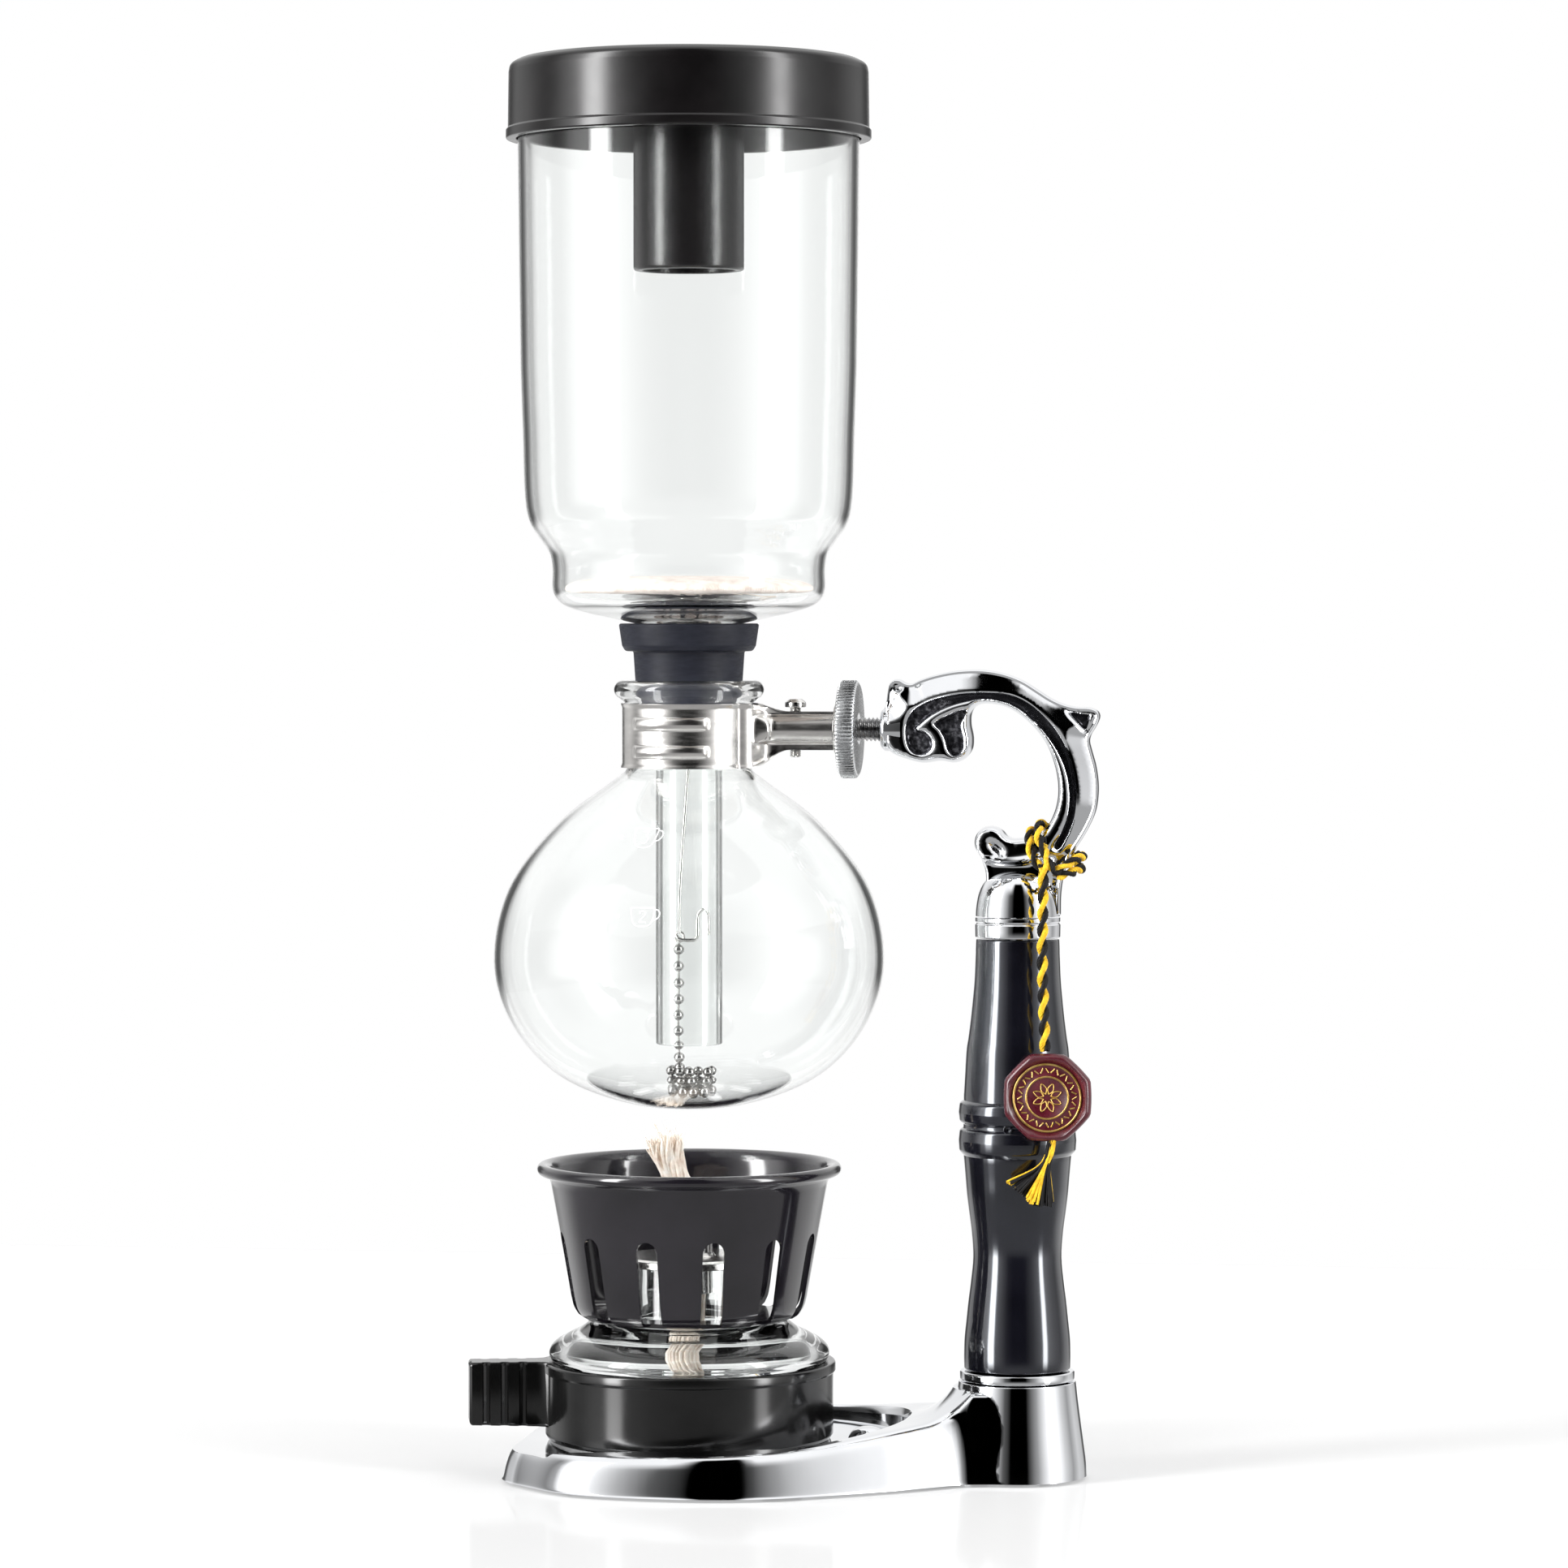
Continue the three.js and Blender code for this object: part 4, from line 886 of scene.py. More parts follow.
def base():
    """Rounded wall and upper face, with the boss added and the lamp's channel and the hollow cut out."""
    plan = base_plan()
    wall = smooth([(0, 0), (0.35, 0.06), (0.9, 0.35), (1.9, 0.7), (3.1, 0.92), (4.4, 0.985), (6, 1)], 3)
    verts, faces = [], []
    count = len(plan)
    for inset, share in wall:
        ring = inset_loop(plan, inset)
        heights = UNDERSIDE + (base_top(inset_loop(plan, 6)) - UNDERSIDE) * share
        verts += [(x, y, z) for (x, y), z in zip(ring, heights)]
    for level in range(len(wall) - 1):
        for i in range(count):
            j = (i + 1) % count
            a, b = level * count, (level + 1) * count
            faces.append([a + i, a + j, b + j, b + i])
    faces.append(list(range(count - 1, -1, -1)))
    rim = inset_loop(plan, 6)
    rings = [(HANDLE + r * math.cos(t), r * math.sin(t)) for r in (14.6, 14.9, 15.3, 15.8, 16.5, 17.4,
        18.5, 19.8, 21.2, 22.8, 24.6) for t in np.linspace(math.pi / 2, 3 * math.pi / 2, 56)]
    rings = np.array(rings)
    rings = rings[inside(rings, rim) & (edge_distance(rings, rim) > 0.7)]
    lattice = hex_points(rim, 2.4, 1.2)
    lattice = lattice[np.hypot(lattice[:, 0] - HANDLE, lattice[:, 1]) > 25.5]
    flat, tris = filled(rim, np.concatenate([rings, lattice]))
    heights = base_top(flat)
    first = len(verts) - count
    rest = {i: (first + i if i < count else len(verts) + i - count) for i in range(len(flat))}
    verts += [(x, y, z) for (x, y), z in zip(flat[count:], heights[count:])]
    faces += [[rest[i] for i in tri] for tri in tris]
    boss = turned(smooth([(17.1, UNDERSIDE), (16.95, 4), (16.3, 9), (15.55, 14.5), (14.9, 19.5),
        (14.5, 23.2)], 4) + fillet([(14.45, 23.4), (14.4, 24.0, 0.5), (0, 24.0)], closed=False)[1:]
        + [(0, UNDERSIDE)], 128, (HANDLE, 0))

    def rim_line(out):
        return [(-70, -POCKET_HALF - out), *arc(16, 0, POCKET_HALF + out, -math.pi / 2, math.pi / 2, 72),
            (-70, POCKET_HALF + out)]

    levels = [(-1.0, 0.0, 0), (-0.35, 0.08, 0), (-0.05, 0.32, 0), (0, 0.62, 0), (0.18, 0.86, 0),
        (0.75, 1.0, 0.08), (2.2, 1.0, 8)]
    pocket = []
    for out, share, more in levels:
        line = even_points(rim_line(out), 220)
        top = base_top(line)
        pocket.append([(x, y, POCKET_FLOOR + (t - POCKET_FLOOR) * share + more) for (x, y),
            t in zip(line, top)])
    hollow = sections([[(x, y, z) for x, y in inset_loop(plan, 6 + z * 0.1)] for z in (0, 4.5)])
    return combine((verts, faces), ("UNION", boss), ("DIFFERENCE", sections(pocket)), ("DIFFERENCE", hollow))


def even_points(loop, count):
    """That many evenly spaced points round a closed line."""
    loop = np.array([*loop, loop[0]], float)
    return at_places(loop, np.linspace(0, distances(loop)[-1], count, endpoint=False))


piece("base_chromed_casting", base(), "stand", "chrome", ["base_casting"], 34)
piece("base_lamp_stop", turned(smooth([(5.2, 7.6), (5.1, 8.2), (4.7, 9.4), (3.6, 10.9), (1.9, 11.7),
    (0, 11.8)], 4) + [(0, 7.6)], 64, (44.5, 0)), "stand", "chrome")


# ---- scroll arm ----
INNER_EDGE = smooth([(71.2, 138.2), (73.2, 143), (73.6, 148.5), (72.3, 152.3), (71.1, 154.4),
    (70.8, 156.2), (71.4, 158.2), (73, 159.6), (75.4, 160), (77.6, 159.2), (78.9, 157.8), (80.2, 157.1),
    (82.6, 157.2), (85.4, 157.6), (87.6, 158.8), (89.5, 161.6), (90.8, 165), (91.3, 169), (90.6, 174.2),
    (88.2, 180.4), (83.6, 185.8), (78.8, 188.9), (74.4, 189.8), (71.6, 189.4), (70.2, 187.6), (70, 185),
    (70.6, 181.6), (70.3, 178.6), (68.6, 176.4), (66.1, 175.4), (62.6, 175.8), (58.3, 175.3),
    (54.2, 176.2), (50.4, 177.8), (49, 179.6), (48.6, 183.5), (48.7, 188.4)], 5)
OUTER_EDGE = smooth([(49.2, 190.8), (49.5, 193), (50, 194.8), (51.2, 195.8), (52.8, 195.7), (54, 195),
    (55.4, 194.8), (57.6, 195.8), (61.4, 197), (66.8, 198), (72.9, 198.2), (78.3, 197.3), (82.8, 195.6),
    (86.7, 193.2), (89.7, 191.3), (92.8, 189.9), (95.8, 189.2), (99.3, 189), (101, 188.3), (101.6, 187),
    (101.2, 185.4), (100.3, 183.7), (99.4, 182.2), (99.1, 180.8), (99.6, 178.6), (100.6, 175),
    (101.2, 171), (101.2, 167.5), (100.6, 163.7), (99.2, 160.3), (97.3, 156.9), (95.3, 153.8),
    (93.6, 150.6), (92.6, 147.1), (92.1, 143.3), (92, 138.2)], 5)


GROOVE = smooth([(54.2, 181.5), (54.3, 184.9), (55.7, 187.9), (58.8, 190.2), (63.3, 191.7), (69, 192.6),
    (74.4, 192.7), (79.7, 192.2), (83.9, 190.4), (87.9, 187.3), (91.3, 183.4), (94.1, 178.4),
    (95.7, 172.8), (96.2, 167.5), (95.6, 162.2), (93.9, 157.7), (91.6, 154.2), (90.6, 155), (92.4, 158.6),
    (93.9, 163), (94.3, 167.5), (93.7, 172.4), (91.9, 177.3), (89, 181.9), (85.7, 185.6), (82, 188.5),
    (78.4, 190.2), (73.6, 190.9), (69, 190.3), (64.8, 189.1), (61, 187.2), (58.2, 185), (57.1, 183.7),
    (58.9, 183.1), (60.6, 181.4), (60.9, 179.3), (59.4, 177.6), (56.8, 177.4), (54.9, 179)], 4, closed=True)
LEAF = smooth([(69.3, 188.4), (68.9, 186.8), (67.9, 184.9), (68.5, 181.8), (68.6, 179.2), (67.6, 177.4),
    (65.9, 177), (64.6, 178.3), (63.8, 181.1), (62.6, 183.3), (61.2, 184.8), (62.2, 185.9), (64.9, 187.2),
    (67.2, 188.2)], 4, closed=True)
TIP = smooth([(93.9, 188), (96.5, 187.7), (99.4, 187.2), (99, 185.3), (98, 183.4), (96.2, 185.2)], 4,
    closed=True)
EAR = smooth([(51.2, 193.6), (52.1, 194.4), (53, 193.9), (52.6, 193), (51.7, 192.7)], 4, closed=True)
DIMPLE = smooth([(74.9, 156.4), (76.6, 155.9), (78.4, 153.9), (77.9, 152.9), (76.4, 153.4), (74.8, 154.8)],
    4, closed=True)
HOOD = smooth([(71.0, 154.4), (72.4, 152.9), (75, 152.1), (79, 151.7), (83.4, 151.8), (88, 152.8)], 5)


def scroll():
    """Both rounded faces of the scroll, and each triangle's look: 0 chrome, 1 recess, 2 groove. Looks 1 and 2
    are painted shade: near-black colour inside the hollow groove, leaf and tip.
    """
    edge = closed_resample([*INNER_EDGE, *OUTER_EDGE][::-1], 0.42)
    lattice = hex_points(edge, 0.5, 1.55)
    for loop in (GROOVE, LEAF, TIP):
        lattice = lattice[edge_distance(lattice, loop) > 0.8]
    extra = [lattice]
    for distance in (0.04, 0.12, 0.25, 0.42, 0.65, 0.95, 1.3):
        near = inset_loop(edge, distance)
        extra.append(near[inside(near, edge) & (edge_distance(near, edge) > distance * 0.9)])
    for loop in (GROOVE, LEAF, TIP):
        for distance in (-0.62, -0.34, -0.14, 0, 0.14, 0.34, 0.62):
            extra.append(closed_resample(inset_loop(loop, distance if area(loop) > 0 else -distance), 0.4))
    extra = np.concatenate(extra)
    extra = extra[inside(extra, edge) & (edge_distance(extra, edge) > 0.08)]
    flat, tris = filled(edge, extra)
    count = len(edge)
    from_edge = edge_distance(flat, edge)
    from_edge[:count] = 0
    height = 5.2 * np.sqrt(np.clip(1 - (1 - np.clip(from_edge / 1.5, 0, 1)) ** 2, 0, 1))
    height -= 3.0 * (1 - np.clip(edge_distance(flat, OUTER_EDGE, closed=False) / 5.6, 0,
        1)) * ease(from_edge / 1.2)
    # dark marks the triangles well inside the groove, leaf and tip (not the dimple or the ear), which take
    # the painted-shade looks.
    dark = np.zeros(len(flat), bool)
    for loop, depth, slope in ((GROOVE, 1.9, 0.7), (LEAF, 2.2, 0.6), (TIP, 1.2, 0.6), (EAR, 1, 0.8),
            (DIMPLE, 1.3, 1.3)):
        held = inside(flat, loop)
        away = edge_distance(flat, loop)
        height -= np.where(held, depth * ease(away / slope) ** 0.8 + 0.3, 0.3 * np.exp(-(away / 0.4) ** 2))
        dark |= held & (away > 0.15) & (loop is not DIMPLE) & (loop is not EAR)
    line = edge_distance(flat, HOOD, closed=False)
    height += 0.9 * np.exp(-(line / 0.75) ** 2) * ease(from_edge / 0.8)
    below = np.interp(flat[:, 0], [p[0] for p in HOOD], [p[1] for p in HOOD]) - flat[:, 1]
    height -= 1.5 * ease(below / 1.4) * (flat[:, 0] < 91) * ease(from_edge / 1.5)
    height = np.maximum(height, 0.6 * ease(from_edge / 0.3))
    height[:count] = 0
    verts = [(x, -h, z) for (x, z), h in zip(flat, height)]
    back = {}
    for i in range(len(flat)):
        if i < count:
            back[i] = i
        else:
            back[i] = len(verts)
            verts.append((flat[i][0], height[i], flat[i][1]))
    faces = [list(t) for t in tris] + [[back[i] for i in t][::-1] for t in tris]
    marks = []
    # Painted shade: mottled near-black (recess) on the left of the hollows, smooth near-black (groove) on the
    # right and in the tip.
    for tri in tris:
        x, z = flat[tri[0]]
        marks.append(int(dark[list(tri)].all()) * (2 if x > 72 or (x > 63 and z > 190.4) else 1))
    return (verts, faces), marks * 2


def area(loop):
    """Area that a closed line holds, above zero where it runs counter-clockwise."""
    a = np.array(loop, float)
    b = np.roll(a, -1, axis=0)
    return float(np.sum(a[:, 0] * b[:, 1] - b[:, 0] * a[:, 1]) / 2)


scroll_mesh, scroll_marks = scroll()
scroll_piece = piece("scroll_casting", scroll_mesh, "stand", "chrome recess groove",
    ["scroll_arm"], 60)
scroll_piece.data.polygons.foreach_set("material_index", scroll_marks)
piece("scroll_foot_dome", turned(smooth([(10.35, 138), (10.3, 139.2), (10.1, 141), (9.6, 143.4),
    (8.4, 146), (6.3, 148), (3.4, 149.1), (0, 149.4)], 5) + [(0, 138)], 128, (HANDLE, 0)), "stand",
    "chrome")
piece("scroll_stud_boss", along_stud(turned(fillet([(2.9, 47.9), (4.6, 47.9, 0.5), (5.3, 48.7, 0.8),
    (5.5, 53), (2.9, 53)]), 64)), "stand", "chrome")


# ---- clamp: threaded stud, knurled nut, washer, band and its screw ----
def threaded(radius, depth, start, end):
    """A stud along +X with a cut thread and a bevelled start."""
    pitch, around, step = 1.0, 40, 0.125
    rows = []
    for x in np.arange(start, end + 1e-6, step):
        ring = []
        for i in range(around):
            turn = i / around
            phase = (x / pitch - turn) % 1
            r = radius - depth * abs(2 * phase - 1) ** 0.8
            if x < start + 0.4:
                r = min(r, radius - 0.6 + x - start)
            ring.append((x, r * math.cos(TAU * turn), STUD_Z + r * math.sin(TAU * turn)))
        rows.append(ring)
    return sections(rows)


piece("clamp_threaded_stud", threaded(3.0, 0.6, 29, 52.2), "stand", "thread",
    ["clamp_stud"], 50)
piece("clamp_washer", along_stud(turned(fillet([(3.3, 36.5), (6.4, 36.5, 0.15), (6.4, 37.3, 0.15),
    (3.3, 37.3)]), 64)), "clamp_collar", "wire", ["thrust_washer"])


def knurled(start, thick, radius):
    """A ring along +X with straight teeth on its rim and bevelled ends."""
    rows = []
    teeth, per = 78, 8
    count = teeth * per
    shape = (0.0, 0.1, 0.42, 0.52, 0.55, 0.52, 0.42, 0.1)
    ends = [(start, 0.95, 0.0), (start + 0.25, 0.45, 0.3), (start + 0.6, 0.0, 1.0),
        (start + thick - 0.6, 0.0, 1.0), (start + thick - 0.25, 0.45, 0.3), (start + thick, 0.95, 0.0)]
    for x, less, cut_depth in ends:
        ring = []
        for i in range(count):
            angle = TAU * i / count
            r = radius - less - shape[i % per] * cut_depth
            ring.append((x, r * math.cos(angle), STUD_Z + r * math.sin(angle)))
        rows.append(ring)

    def bore(x, r):
        return [(x, r * math.cos(TAU * i / count), STUD_Z + r * math.sin(TAU * i / count))
            for i in range(count)]

    inner = [bore(start + thick, 4.0), bore(start + thick - 0.5, 3.15), bore(start + 0.5, 3.15),
        bore(start, 4.0)]
    return sections(rows + inner, closed=True)


piece("clamp_knurled_nut", knurled(37.6, 4.6, 12), "clamp_nut", "zinc", ["thumb_nut"], 30)


def band():
    """One strip of sheet from arm to arm. The hoop has pressed ribs, the arms a half-round channel."""
    middle_radius, sheet = 16.12, 0.72
    hoop_low, hoop_high, rib_levels = 174.0, 189.8, (184.9, 178.1)
    turn_in = math.radians(33)
    bend = [(36.2, 2.12), (30, 2.12), (24, 2.12), (21.4, 2.2), (19.6, 2.9), (18.3, 4.3), (17.2, 6.0),
        (15.9, 7.6), (middle_radius * math.cos(turn_in), middle_radius * math.sin(turn_in))]
    start = smooth(bend, 6)
    hoop = arc(0, 0, middle_radius, turn_in, TAU - turn_in, 150)
    line = resample([*start, *hoop[1:], *[(x, -y) for x, y in start[::-1][1:]]], 0.42)
    travel = directions(line)
    normal = np.stack([travel[:, 1], -travel[:, 0]], axis=1)
    out_of_hoop = np.where((normal * line).sum(1) < 0, -1.0, 1.0)
    normal *= np.median(out_of_hoop)
    heights = np.linspace(-1, 1, 65)
    fronts, backs = [], []
    for (x, y), n in zip(line, normal):
        lean = ease((x - 14.6) / 10.5)
        low = hoop_low + 4.4 * lean
        high = hoop_high - 2.0 * lean
        z = (low + high) / 2 + heights * (high - low) / 2
        channel = ease((x - 16.6) / 1.6)
        dz = np.abs(z - STUD_Z)
        pressed = np.where(dz < 3.75, np.sqrt(np.clip(3.95 ** 2 - dz ** 2, 0, None)) - 1.35, 0)
        lift = channel * pressed * (1 - ease((dz - 2.9) / 0.9) * 0.9)
        angle = math.degrees(math.atan2(y, x))
        for centre in (-100.0, 100.0):
            ends = 1 - ease((abs(angle - centre) - 31) / 6)
            for level in rib_levels:
                shape = np.clip(1 - (np.abs(z - level) / 1.55) ** 2, 0, 1) ** 0.7
                lift += ends * 0.72 * shape * (x < 14)
        edge = np.minimum(z - low, high - z)
        lift += (1 - lean) * 0.35 * (1 - ease(edge / 1.3))
        fronts.append([(x + n[0] * (sheet / 2 + d), y + n[1] * (sheet / 2 + d), h) for d, h in zip(lift, z)])
        backs.append([(x + n[0] * (d - sheet / 2), y + n[1] * (d - sheet / 2), h) for d, h in zip(lift, z)])
    return sections([[*f, *b[::-1]] for f, b in zip(fronts, backs)])


piece("clamp_neck_band", band(), "flask", "stainless", ["neck_band"], 50)


def clamp_screw():
    head = turned(fillet([(0, 188.9), (2.6, 188.9, 0.2), (2.6, 190.1, 0.5), (1.5, 190.9, 0.6), (0, 190.9)],
        closed=False), 48, (26.5, 0))
    slot = sections([[(x, y, z) for x, y in ((23, -0.35), (30, -0.35), (30, 0.35), (23, 0.35))]
        for z in (190.2, 192)])
    shank = turned([(0, 176.6), (1.1, 176.6), *[(1.4 - (k % 2) * 0.22, 177 + k * 0.25) for k in range(48)],
        (0, 189)], 32, (26.5, 0))
    return merged(combine(head, ("DIFFERENCE", slot)), shank)


piece("clamp_tie_screw", clamp_screw(), "flask", "wire", ["clamp_screw"], 30)


# ---- wind guard ----
def guard():
    """Bowl with a rolled rim, and slots with round tops cut through its side."""
    outer = [*fillet([(16, 38.2), (24.2, 38.2), (26, 38.3)], closed=False),
        *smooth([(27.4, 39.2), (28.5, 41), (29.2, 43.6)], 4), (31, 54), (33, 65), (34.1, 71),
        *smooth([(34.5, 72.6), (35.4, 73.5), (36.5, 73.5), (37.4, 74.2), (37.55, 75.3), (36.9, 76.2),
        (35.7, 76.3), (34.4, 75.6), (33.6, 74.2)], 4)]
    inner = [(33.2, 71), (32.1, 65), (30.1, 54), *smooth([(28.3, 43.8), (27.7, 41.8), (26.7, 40),
        (25, 39.1), (23, 39.1)], 3), (16, 39.1)]
    slots = []
    count, half, foot, top = 12, 2.65, 36, 57.2
    outline = [(-half, foot), (half, foot), *arc(0, top, half, 0, math.pi, 14)]
    for i in range(count):
        angle = TAU * i / count - 0.175
        rings = []
        for reach in (-23.6, -44):
            rings.append([(x * math.cos(angle) - reach * math.sin(angle), x * math.sin(angle)
                + reach * math.cos(angle), z) for x, z in outline])
        slots.append(sections(rings))
    return combine(turned([*outer, *inner], 144), ("DIFFERENCE", merged(*slots)))


piece("lamp_wind_guard", guard(), "lamp", "enamel", ["wind_guard"], 40)


# ---- lamp holder ----
def holder():
    """Cup with a ribbed pull tab."""
    cup = turned(fillet([(0, 8.3), (34.8, 8.3, 1), (35.6, 9.6, 0.6), (35.6, 24.7, 0.3), (36.2, 25.2, 0.3),
        (36.2, 27.5, 0.8), (33.6, 27.5, 0.5), (33.6, 10.9, 0.6), (0, 10.9)], closed=False), 144)
    half, groove = 4.3, 0.9
    side = [(34.2, half + 1.8), (36, half + 0.5), (38.2, half)]
    for x in (40.4, 44.9, 49.4):
        side += [(x, half), (x + 0.3, half - groove * 0.75), (x + 0.95, half - groove),
            (x + 1.6, half - groove * 0.75), (x + 1.9, half)]
    side += [(53.9, half), (54.5, half - 0.6)]
    plan = np.array([*side, *[(x, -y) for x, y in side[::-1]]])
    rings = []
    for z, less in ((12.0, 0.6), (12.4, 0.15), (12.9, 0), (26.9, 0), (27.5, 0.15), (27.9, 0.6)):
        ring = inset_loop(plan[::-1], less) if less else plan[::-1]
        rings.append([(x, y, z if z > 20 else z + (x - 36) * 0.03 - 0.1) for x, y in ring])
    tab_turn = 0.239
    turn = math.pi + tab_turn
    rings = [[(x * math.cos(turn) - y * math.sin(turn), x * math.sin(turn) + y * math.cos(turn), z) for x,
        y, z in ring] for ring in rings]
    return combine(cup, ("UNION", sections(rings)))


piece("lamp_holder_cup", holder(), "lamp", "holder", ["lamp_holder"], 35)


# ---- wick and its holder ----
piece("lamp_wick_tube", turned(fillet([(4.9, 44), (5.7, 44), (5.7, 52.2, 0.4), (15.3, 52.2, 0.3),
    (16, 51.2, 0.3), (16.4, 51.2, 0.2), (16.4, 52.9, 0.5), (15.6, 53.4, 0.4), (6.4, 53.4, 0.4),
    (5.7, 54.4, 0.3), (5.7, 63, 0.2), (4.9, 63)]), 96), "lamp", "wire", ["wick_holder"])


def wick():
    """A bundle of strands, frayed at the top, with some finer loose hairs."""
    strand_count, golden_turn = 78, 2.399963
    rng = random.Random(5)
    spine = np.array(smooth([(-3, 0, 15), (-1.2, 0, 30), (0, 0, 42), (0, 0, 54), (-0.3, 0, 64),
        (-2.6, 0, 71), (-5, 0, 77), (-6.4, 0, 82)], 8))
    u, v = line_frames(spine)
    strands = []
    for i in range(strand_count):
        spot = 3.75 * math.sqrt((i + 0.5) / strand_count)
        turn = i * golden_turn
        loose = rng.uniform(-0.6, 0.6), rng.uniform(-0.6, 0.6)
        cut = rng.uniform(-1.5, 1.6)
        points = []
        for k, centre in enumerate(spine):
            share = k / (len(spine) - 1)
            fray = ease((share - 0.76) / 0.24)
            angle = turn + share * 2.4
            reach = spot * (1 - 0.22 * ease((share - 0.5) / 0.3) + 0.42 * fray)
            wave = 0.22 * math.sin(share * 34 + i)
            points.append(centre + u[k] * ((reach + wave) * math.cos(angle) + loose[0] * 1.6 * fray)
                + v[k] * ((reach + wave) * math.sin(angle) + loose[1] * 1.6 * fray)
                + np.array((0, 0, cut * fray)))
        radii = np.interp(np.linspace(0, 1, len(points)), [0, 0.9, 1], [0.52, 0.5, 0.16])
        strands.append(tube(points, radii, 6))
    for i in range(26):
        base_point = spine[-5] + np.array((rng.uniform(-3, 3), rng.uniform(-3, 3), rng.uniform(-3, 2)))
        lean = np.array((rng.uniform(-3.4, 3.6), rng.uniform(-3, 3), rng.uniform(2, 7)))
        curl = np.array((rng.uniform(-1, 1), rng.uniform(-1, 1), 0))
        strands.append(tube(smooth([base_point, base_point + lean * 0.5 + curl, base_point + lean], 5),
            0.11, 5))
    return merged(*strands)


piece("lamp_wick_strands", wick(), "lamp", "wick", ["wick"], 80)


# ---- filter: cloth, hub, spring, hook, chain ----
def cloth():
    """Flannel drawn over the disc and gathered underneath in small pleats."""
    rng = random.Random(3)
    around = 360
    # Only the second of each pair, the phase, is used. The first stays so that later draws stay the same.
    pleats = [(rng.uniform(0.7, 1.25), rng.uniform(0, TAU)) for _ in range(3)]

    def pleat(angle):
        waves = ((17, 0.55), (29, 0.35), (11, 0.3))
        return sum(math.sin(angle * n + phase) * size for (n, size), (_, phase) in zip(waves, pleats))

    top = smooth([(0.01, 221), (8, 220.95), (16, 220.8), (24, 220.3), (28.4, 219.6), (30.3, 218.6),
        (30.5, 217.7), (29.6, 216.9), (26, 216.1), (20, 215.3), (14, 214.7), (10.6, 214.3), (8.6, 213.2),
        (8.2, 212.6)], 5)
    rings = []
    for r, z in top:
        ring = []
        gather = ease((218.4 - z) / 3.2)
        hem = ease((214.8 - z) / 1.6)
        for i in range(around):
            angle = TAU * i / around
            fold = pleat(angle)
            radius = r + fold * (0.3 * gather + 0.9 * hem) + 0.12 * math.sin(angle * 5 + 1) * (r / 30)
            height = z + fold * (0.28 * gather + 0.5 * hem) + 0.1 * math.sin(angle * 3 + r * 0.2)
            ring.append((radius * math.cos(angle), radius * math.sin(angle), height))
        rings.append(ring)
    inner = [[(x * 0.985, y * 0.985, z - 0.45 if k < 30 else z + 0.4) for x, y, z in ring] for k,
        ring in enumerate(rings)]
    return sections(rings + inner[::-1])


cloth_piece = piece("filter_gathered_cloth", cloth(), "filter", "flannel",
    ["filter_cloth"], 70)
strings = [tube(smooth([(9.6, -6, 214.6), (12.5, -7.5, 214.9), (16, -9.2, 214.2), (19.5, -9.6, 213.6),
    (23, -9, 213.9)], 6), 0.22, 6), tube(smooth([(9.4, -5.4, 214.4), (12, -8.2, 214.1), (14.6, -9, 213.6)],
    6), 0.2, 6), tube(smooth([(-8.59, -1.5, 214.0), (-8.2, 3, 214.0), (-5, 7, 214.0), (0, 8.9, 214.0),
    (5, 7, 214.0), (8.2, 3, 214.0), (8.8, -2, 214.0), (6, -6.6, 214.0), (0, -9.0, 214.0),
    (-6, -6.6, 214.0), (-8.5, -2.2, 214.0)], 6), 0.35, 6)]
piece("filter_drawstring", merged(*strings), "filter", "wick")
piece("filter_hub_plate", turned(fillet([(0, 212.4), (7.4, 212.4, 0.3), (7.9, 213.2, 0.3),
    (7.4, 213.8, 0.2), (2.2, 214.2), (2.2, 217.2, 0.3), (0, 217.2)], closed=False), 64), "filter",
    "wire", ["filter_hub"])
COILS = 15
spring_path = [(3 * math.cos(t * TAU * COILS), 3 * math.sin(t * TAU * COILS), 176 + 36 * t)
    for t in np.linspace(0, 1, COILS * 22)]
piece("filter_coil_spring", tube(spring_path, 0.42, 8), "filter", "wire", ["filter_spring"])

hook = smooth([(0.0, 0, 175.4), (-0.6, 0, 168), (-1.6, 0, 155), (-2.4, 0, 142), (-2.5, 0, 135),
    (-2.5, 0, 133.4)], 5)
bar_line = smooth([(-4.3, 0, 131.9), (-3.2, -0.3, 132.6), (-2.4, -0.5, 131.9), (-0.6, -0.2, 131.6),
    (1.4, 0, 131.8), (2.0, 0, 132.6), (2.1, 0, 136.4), (2.4, 0, 138.2), (3.5, 0, 139.1), (4.5, 0, 138.2),
    (4.8, 0, 136.2), (4.8, 0, 132.9)], 5)
eye = [(-2.5 + 1.1 * math.cos(t), 0.2, 132.4 + 1.2 * math.sin(t)) for t in np.linspace(0, TAU, 28,
    endpoint=False)]
piece("filter_hook_wire", merged(tube(hook, 0.45, 10), tube(bar_line, 0.45, 10),
    tube(eye, 0.38, 8, closed=True)), "filter", "wire", ["filter_wire"])


def bead(x, y, z, radius=1.36):
    """One bead of the chain."""
    profile = [(0, z - radius), *[(radius * math.cos(t), z + radius * math.sin(t))
        for t in np.linspace(-1.35, 1.35, 9)], (0, z + radius)]
    return turned(profile, 16, (x, y))


CHAIN = smooth([(-2.55, 0, 131.4), (-2.7, 0, 127), (-2.6, 0, 120), (-2.75, 0, 112), (-2.6, 0, 105),
    (-2.4, 0, 99.6)], 6)
chain_parts = [bead(float(np.interp(-z, [-p[2] for p in CHAIN], [p[0] for p in CHAIN])), 0, z)
    for z in (129.3, 125.2, 121, 117, 113.1, 109.2, 105.4, 102.1, 99.5)]
piece("filter_bead_chain", merged(*chain_parts, tube(CHAIN, 0.3, 6)), "filter", "bead",
    ["bead_chain"])


HEAP_REACH = 5.7     # keeps the beads inside the stem's bore when the filter is lifted


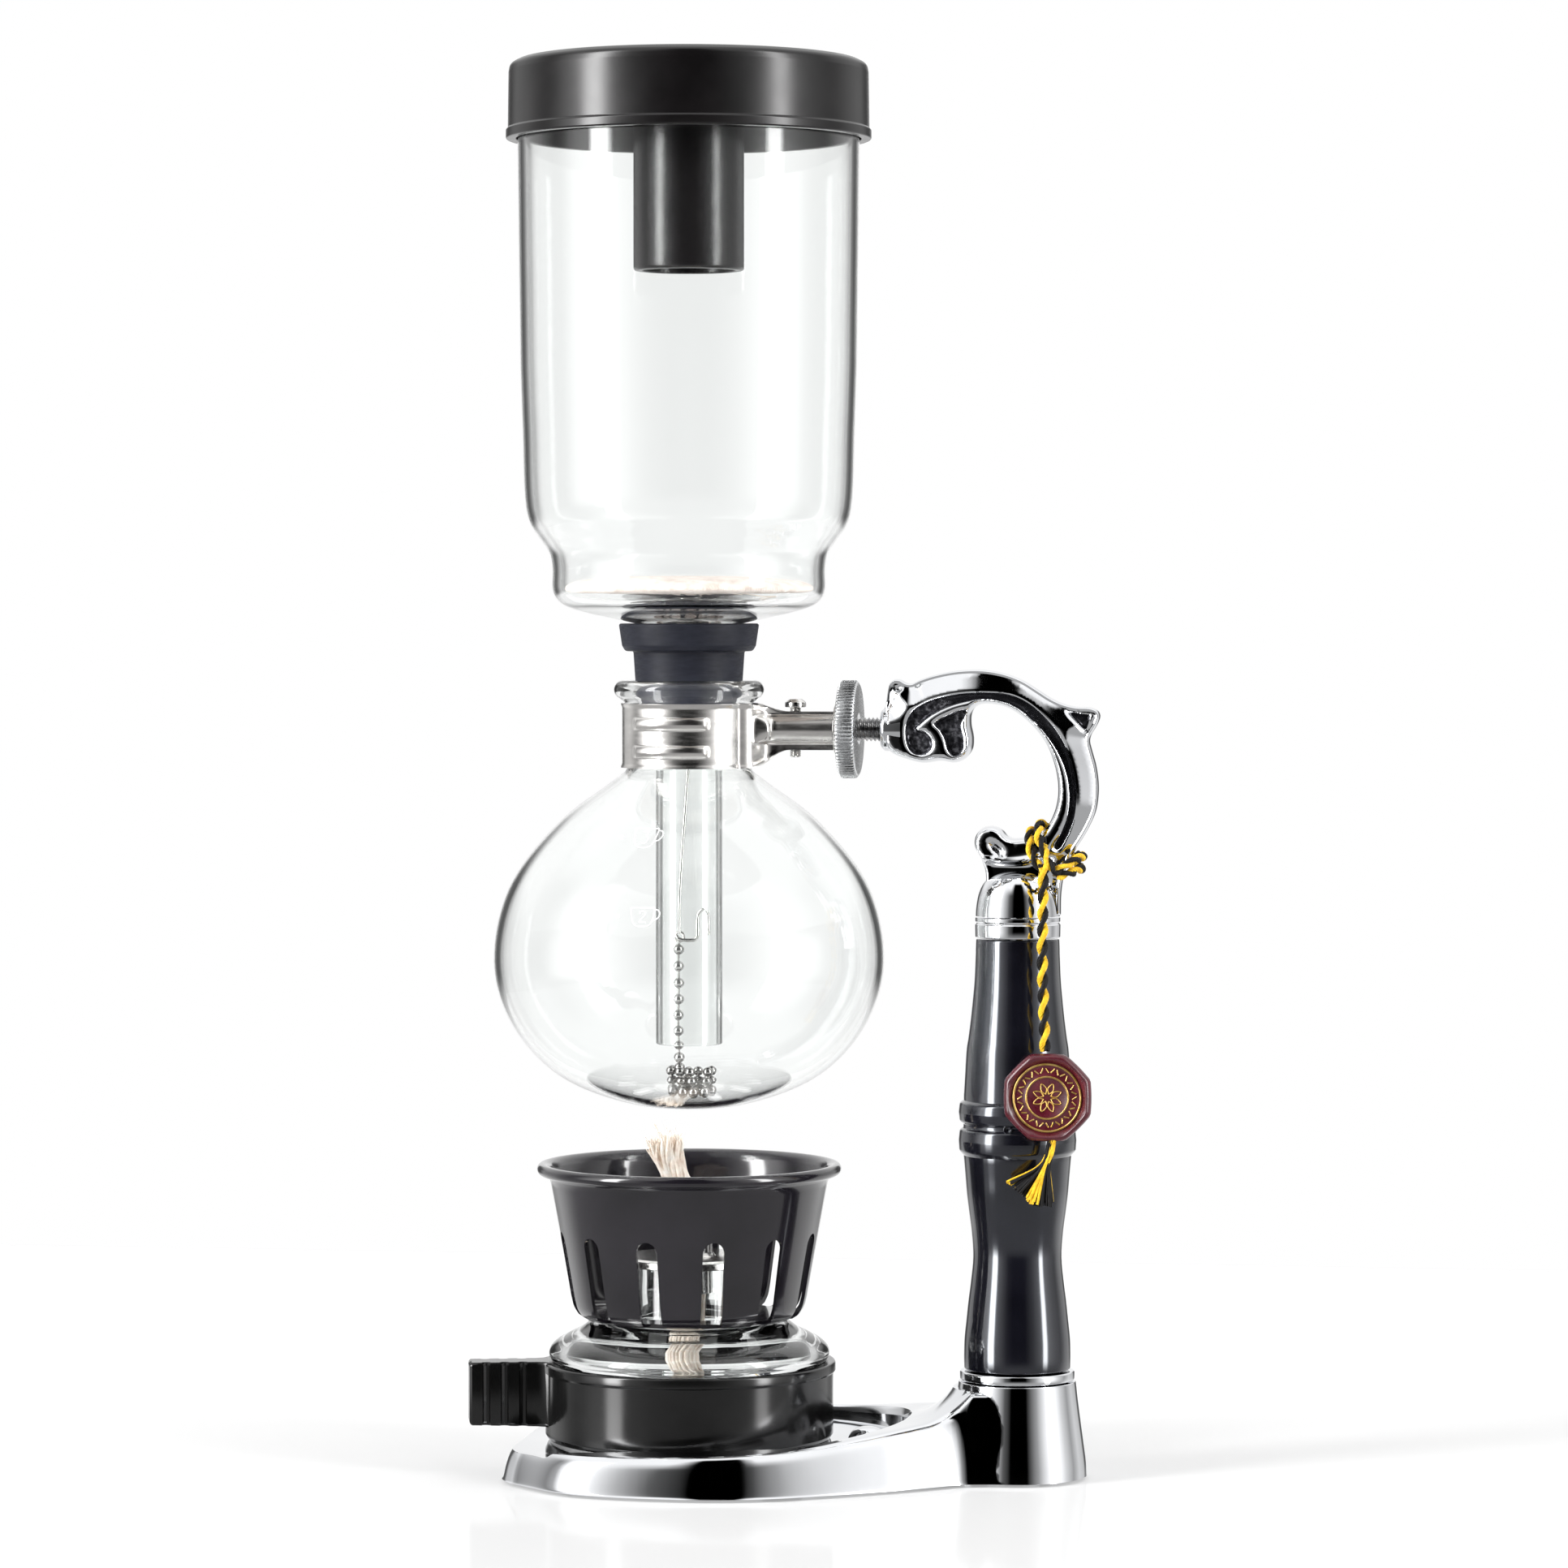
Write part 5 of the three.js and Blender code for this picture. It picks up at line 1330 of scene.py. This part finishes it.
def heap():
    """Short columns of beads standing on the flask's bottom."""
    rng = random.Random(8)
    parts = []
    for column, (x, y) in enumerate([(-3.9, -1.4), (-1.2, -2.6), (1.5, -2.9), (4.2, -2.2), (6.2, -0.6),
            (-4.4, 1.2), (-2.0, 0.6), (0.8, -0.2), (3.2, 0.4), (-1.2, 2.8), (1.9, 2.7), (4.6, 2.2)]):
        floor_z = 91.62 + (x * x + y * y) * 0.0075
        bits = 3 if column < 9 else 2
        lean = rng.uniform(-0.5, 0.5), rng.uniform(-0.4, 0.4)
        path = []
        for k in range(bits):
            across, depth = x + lean[0] * k, y + lean[1] * k
            keep = min(1.0, HEAP_REACH / math.hypot(across, depth))
            place = (across * keep, depth * keep, floor_z + 1.42 + k * 2.75)
            path.append(place)
            parts.append(bead(*place, 1.3))
        if bits > 1:
            parts.append(tube(smooth(path, 4), 0.28, 6))
    return merged(*parts)


piece("filter_chain_heap", heap(), "filter", "bead", ["bead_chain_end"])


# ---- cup marks on the flask ----
def on_bulb(along, height, facing):
    """A point just outside the bulb's surface, from a distance sideways and a height."""
    radius = float(np.interp(height, BULB_Z, BULB_R)) + 0.04
    angle = math.radians(facing) + along / radius
    return (radius * math.cos(angle), radius * math.sin(angle), height)


BULB = smooth(BULB_POINTS, 10)
BULB_R, BULB_Z = [p[0] for p in BULB], [p[1] for p in BULB]
DIGITS = {"2": [(-0.75, 0.75), (-0.55, 1.2), (0, 1.4), (0.6, 1.15), (0.7, 0.6), (0.3, 0.0), (-0.3, -0.6),
    (-0.8, -1.3), (0.85, -1.3)], "3": [(-0.7, 1.35), (0.75, 1.35), (0.05, 0.4), (0.6, 0.2), (0.85, -0.4),
    (0.5, -1.1), (-0.1, -1.35), (-0.75, -1.05)],}


def mark(digit, height, facing):
    """A cup with its number inside and a dot beside it, drawn on the bulb."""
    cup = smooth([(-2.9, 2.1), (-2.75, 0.4), (-2.3, -1.3), (-1.5, -2.1), (0, -2.3), (1.5, -2.1),
        (2.3, -1.3), (2.75, 0.4), (2.9, 2.1)], 4)
    handle = smooth([(2.8, 1.6), (3.7, 1.6), (4.2, 0.8), (3.7, -0.4), (2.5, -0.9)], 4)
    strokes = [cup, [(-2.9, 2.1), (-1, 2.1), (1, 2.1), (2.9, 2.1)], handle, smooth(DIGITS[digit], 4)
        if digit == "3" else DIGITS[digit]]
    parts = [tube([on_bulb(a, height + h, facing) for a, h in resample(s, 0.3)], 0.15, 6) for s in strokes]
    dot = [on_bulb(-6.1 + 0.3 * math.cos(t), height + 0.3 * math.sin(t), facing) for t in np.linspace(0,
        TAU, 13)]
    parts.append(tube(dot, 0.25, 6))
    return merged(*parts)


piece("flask_cup_marks", merged(mark("3", 158.0, -98.6), mark("2", 139.6, -94.8)), "flask",
    "print")
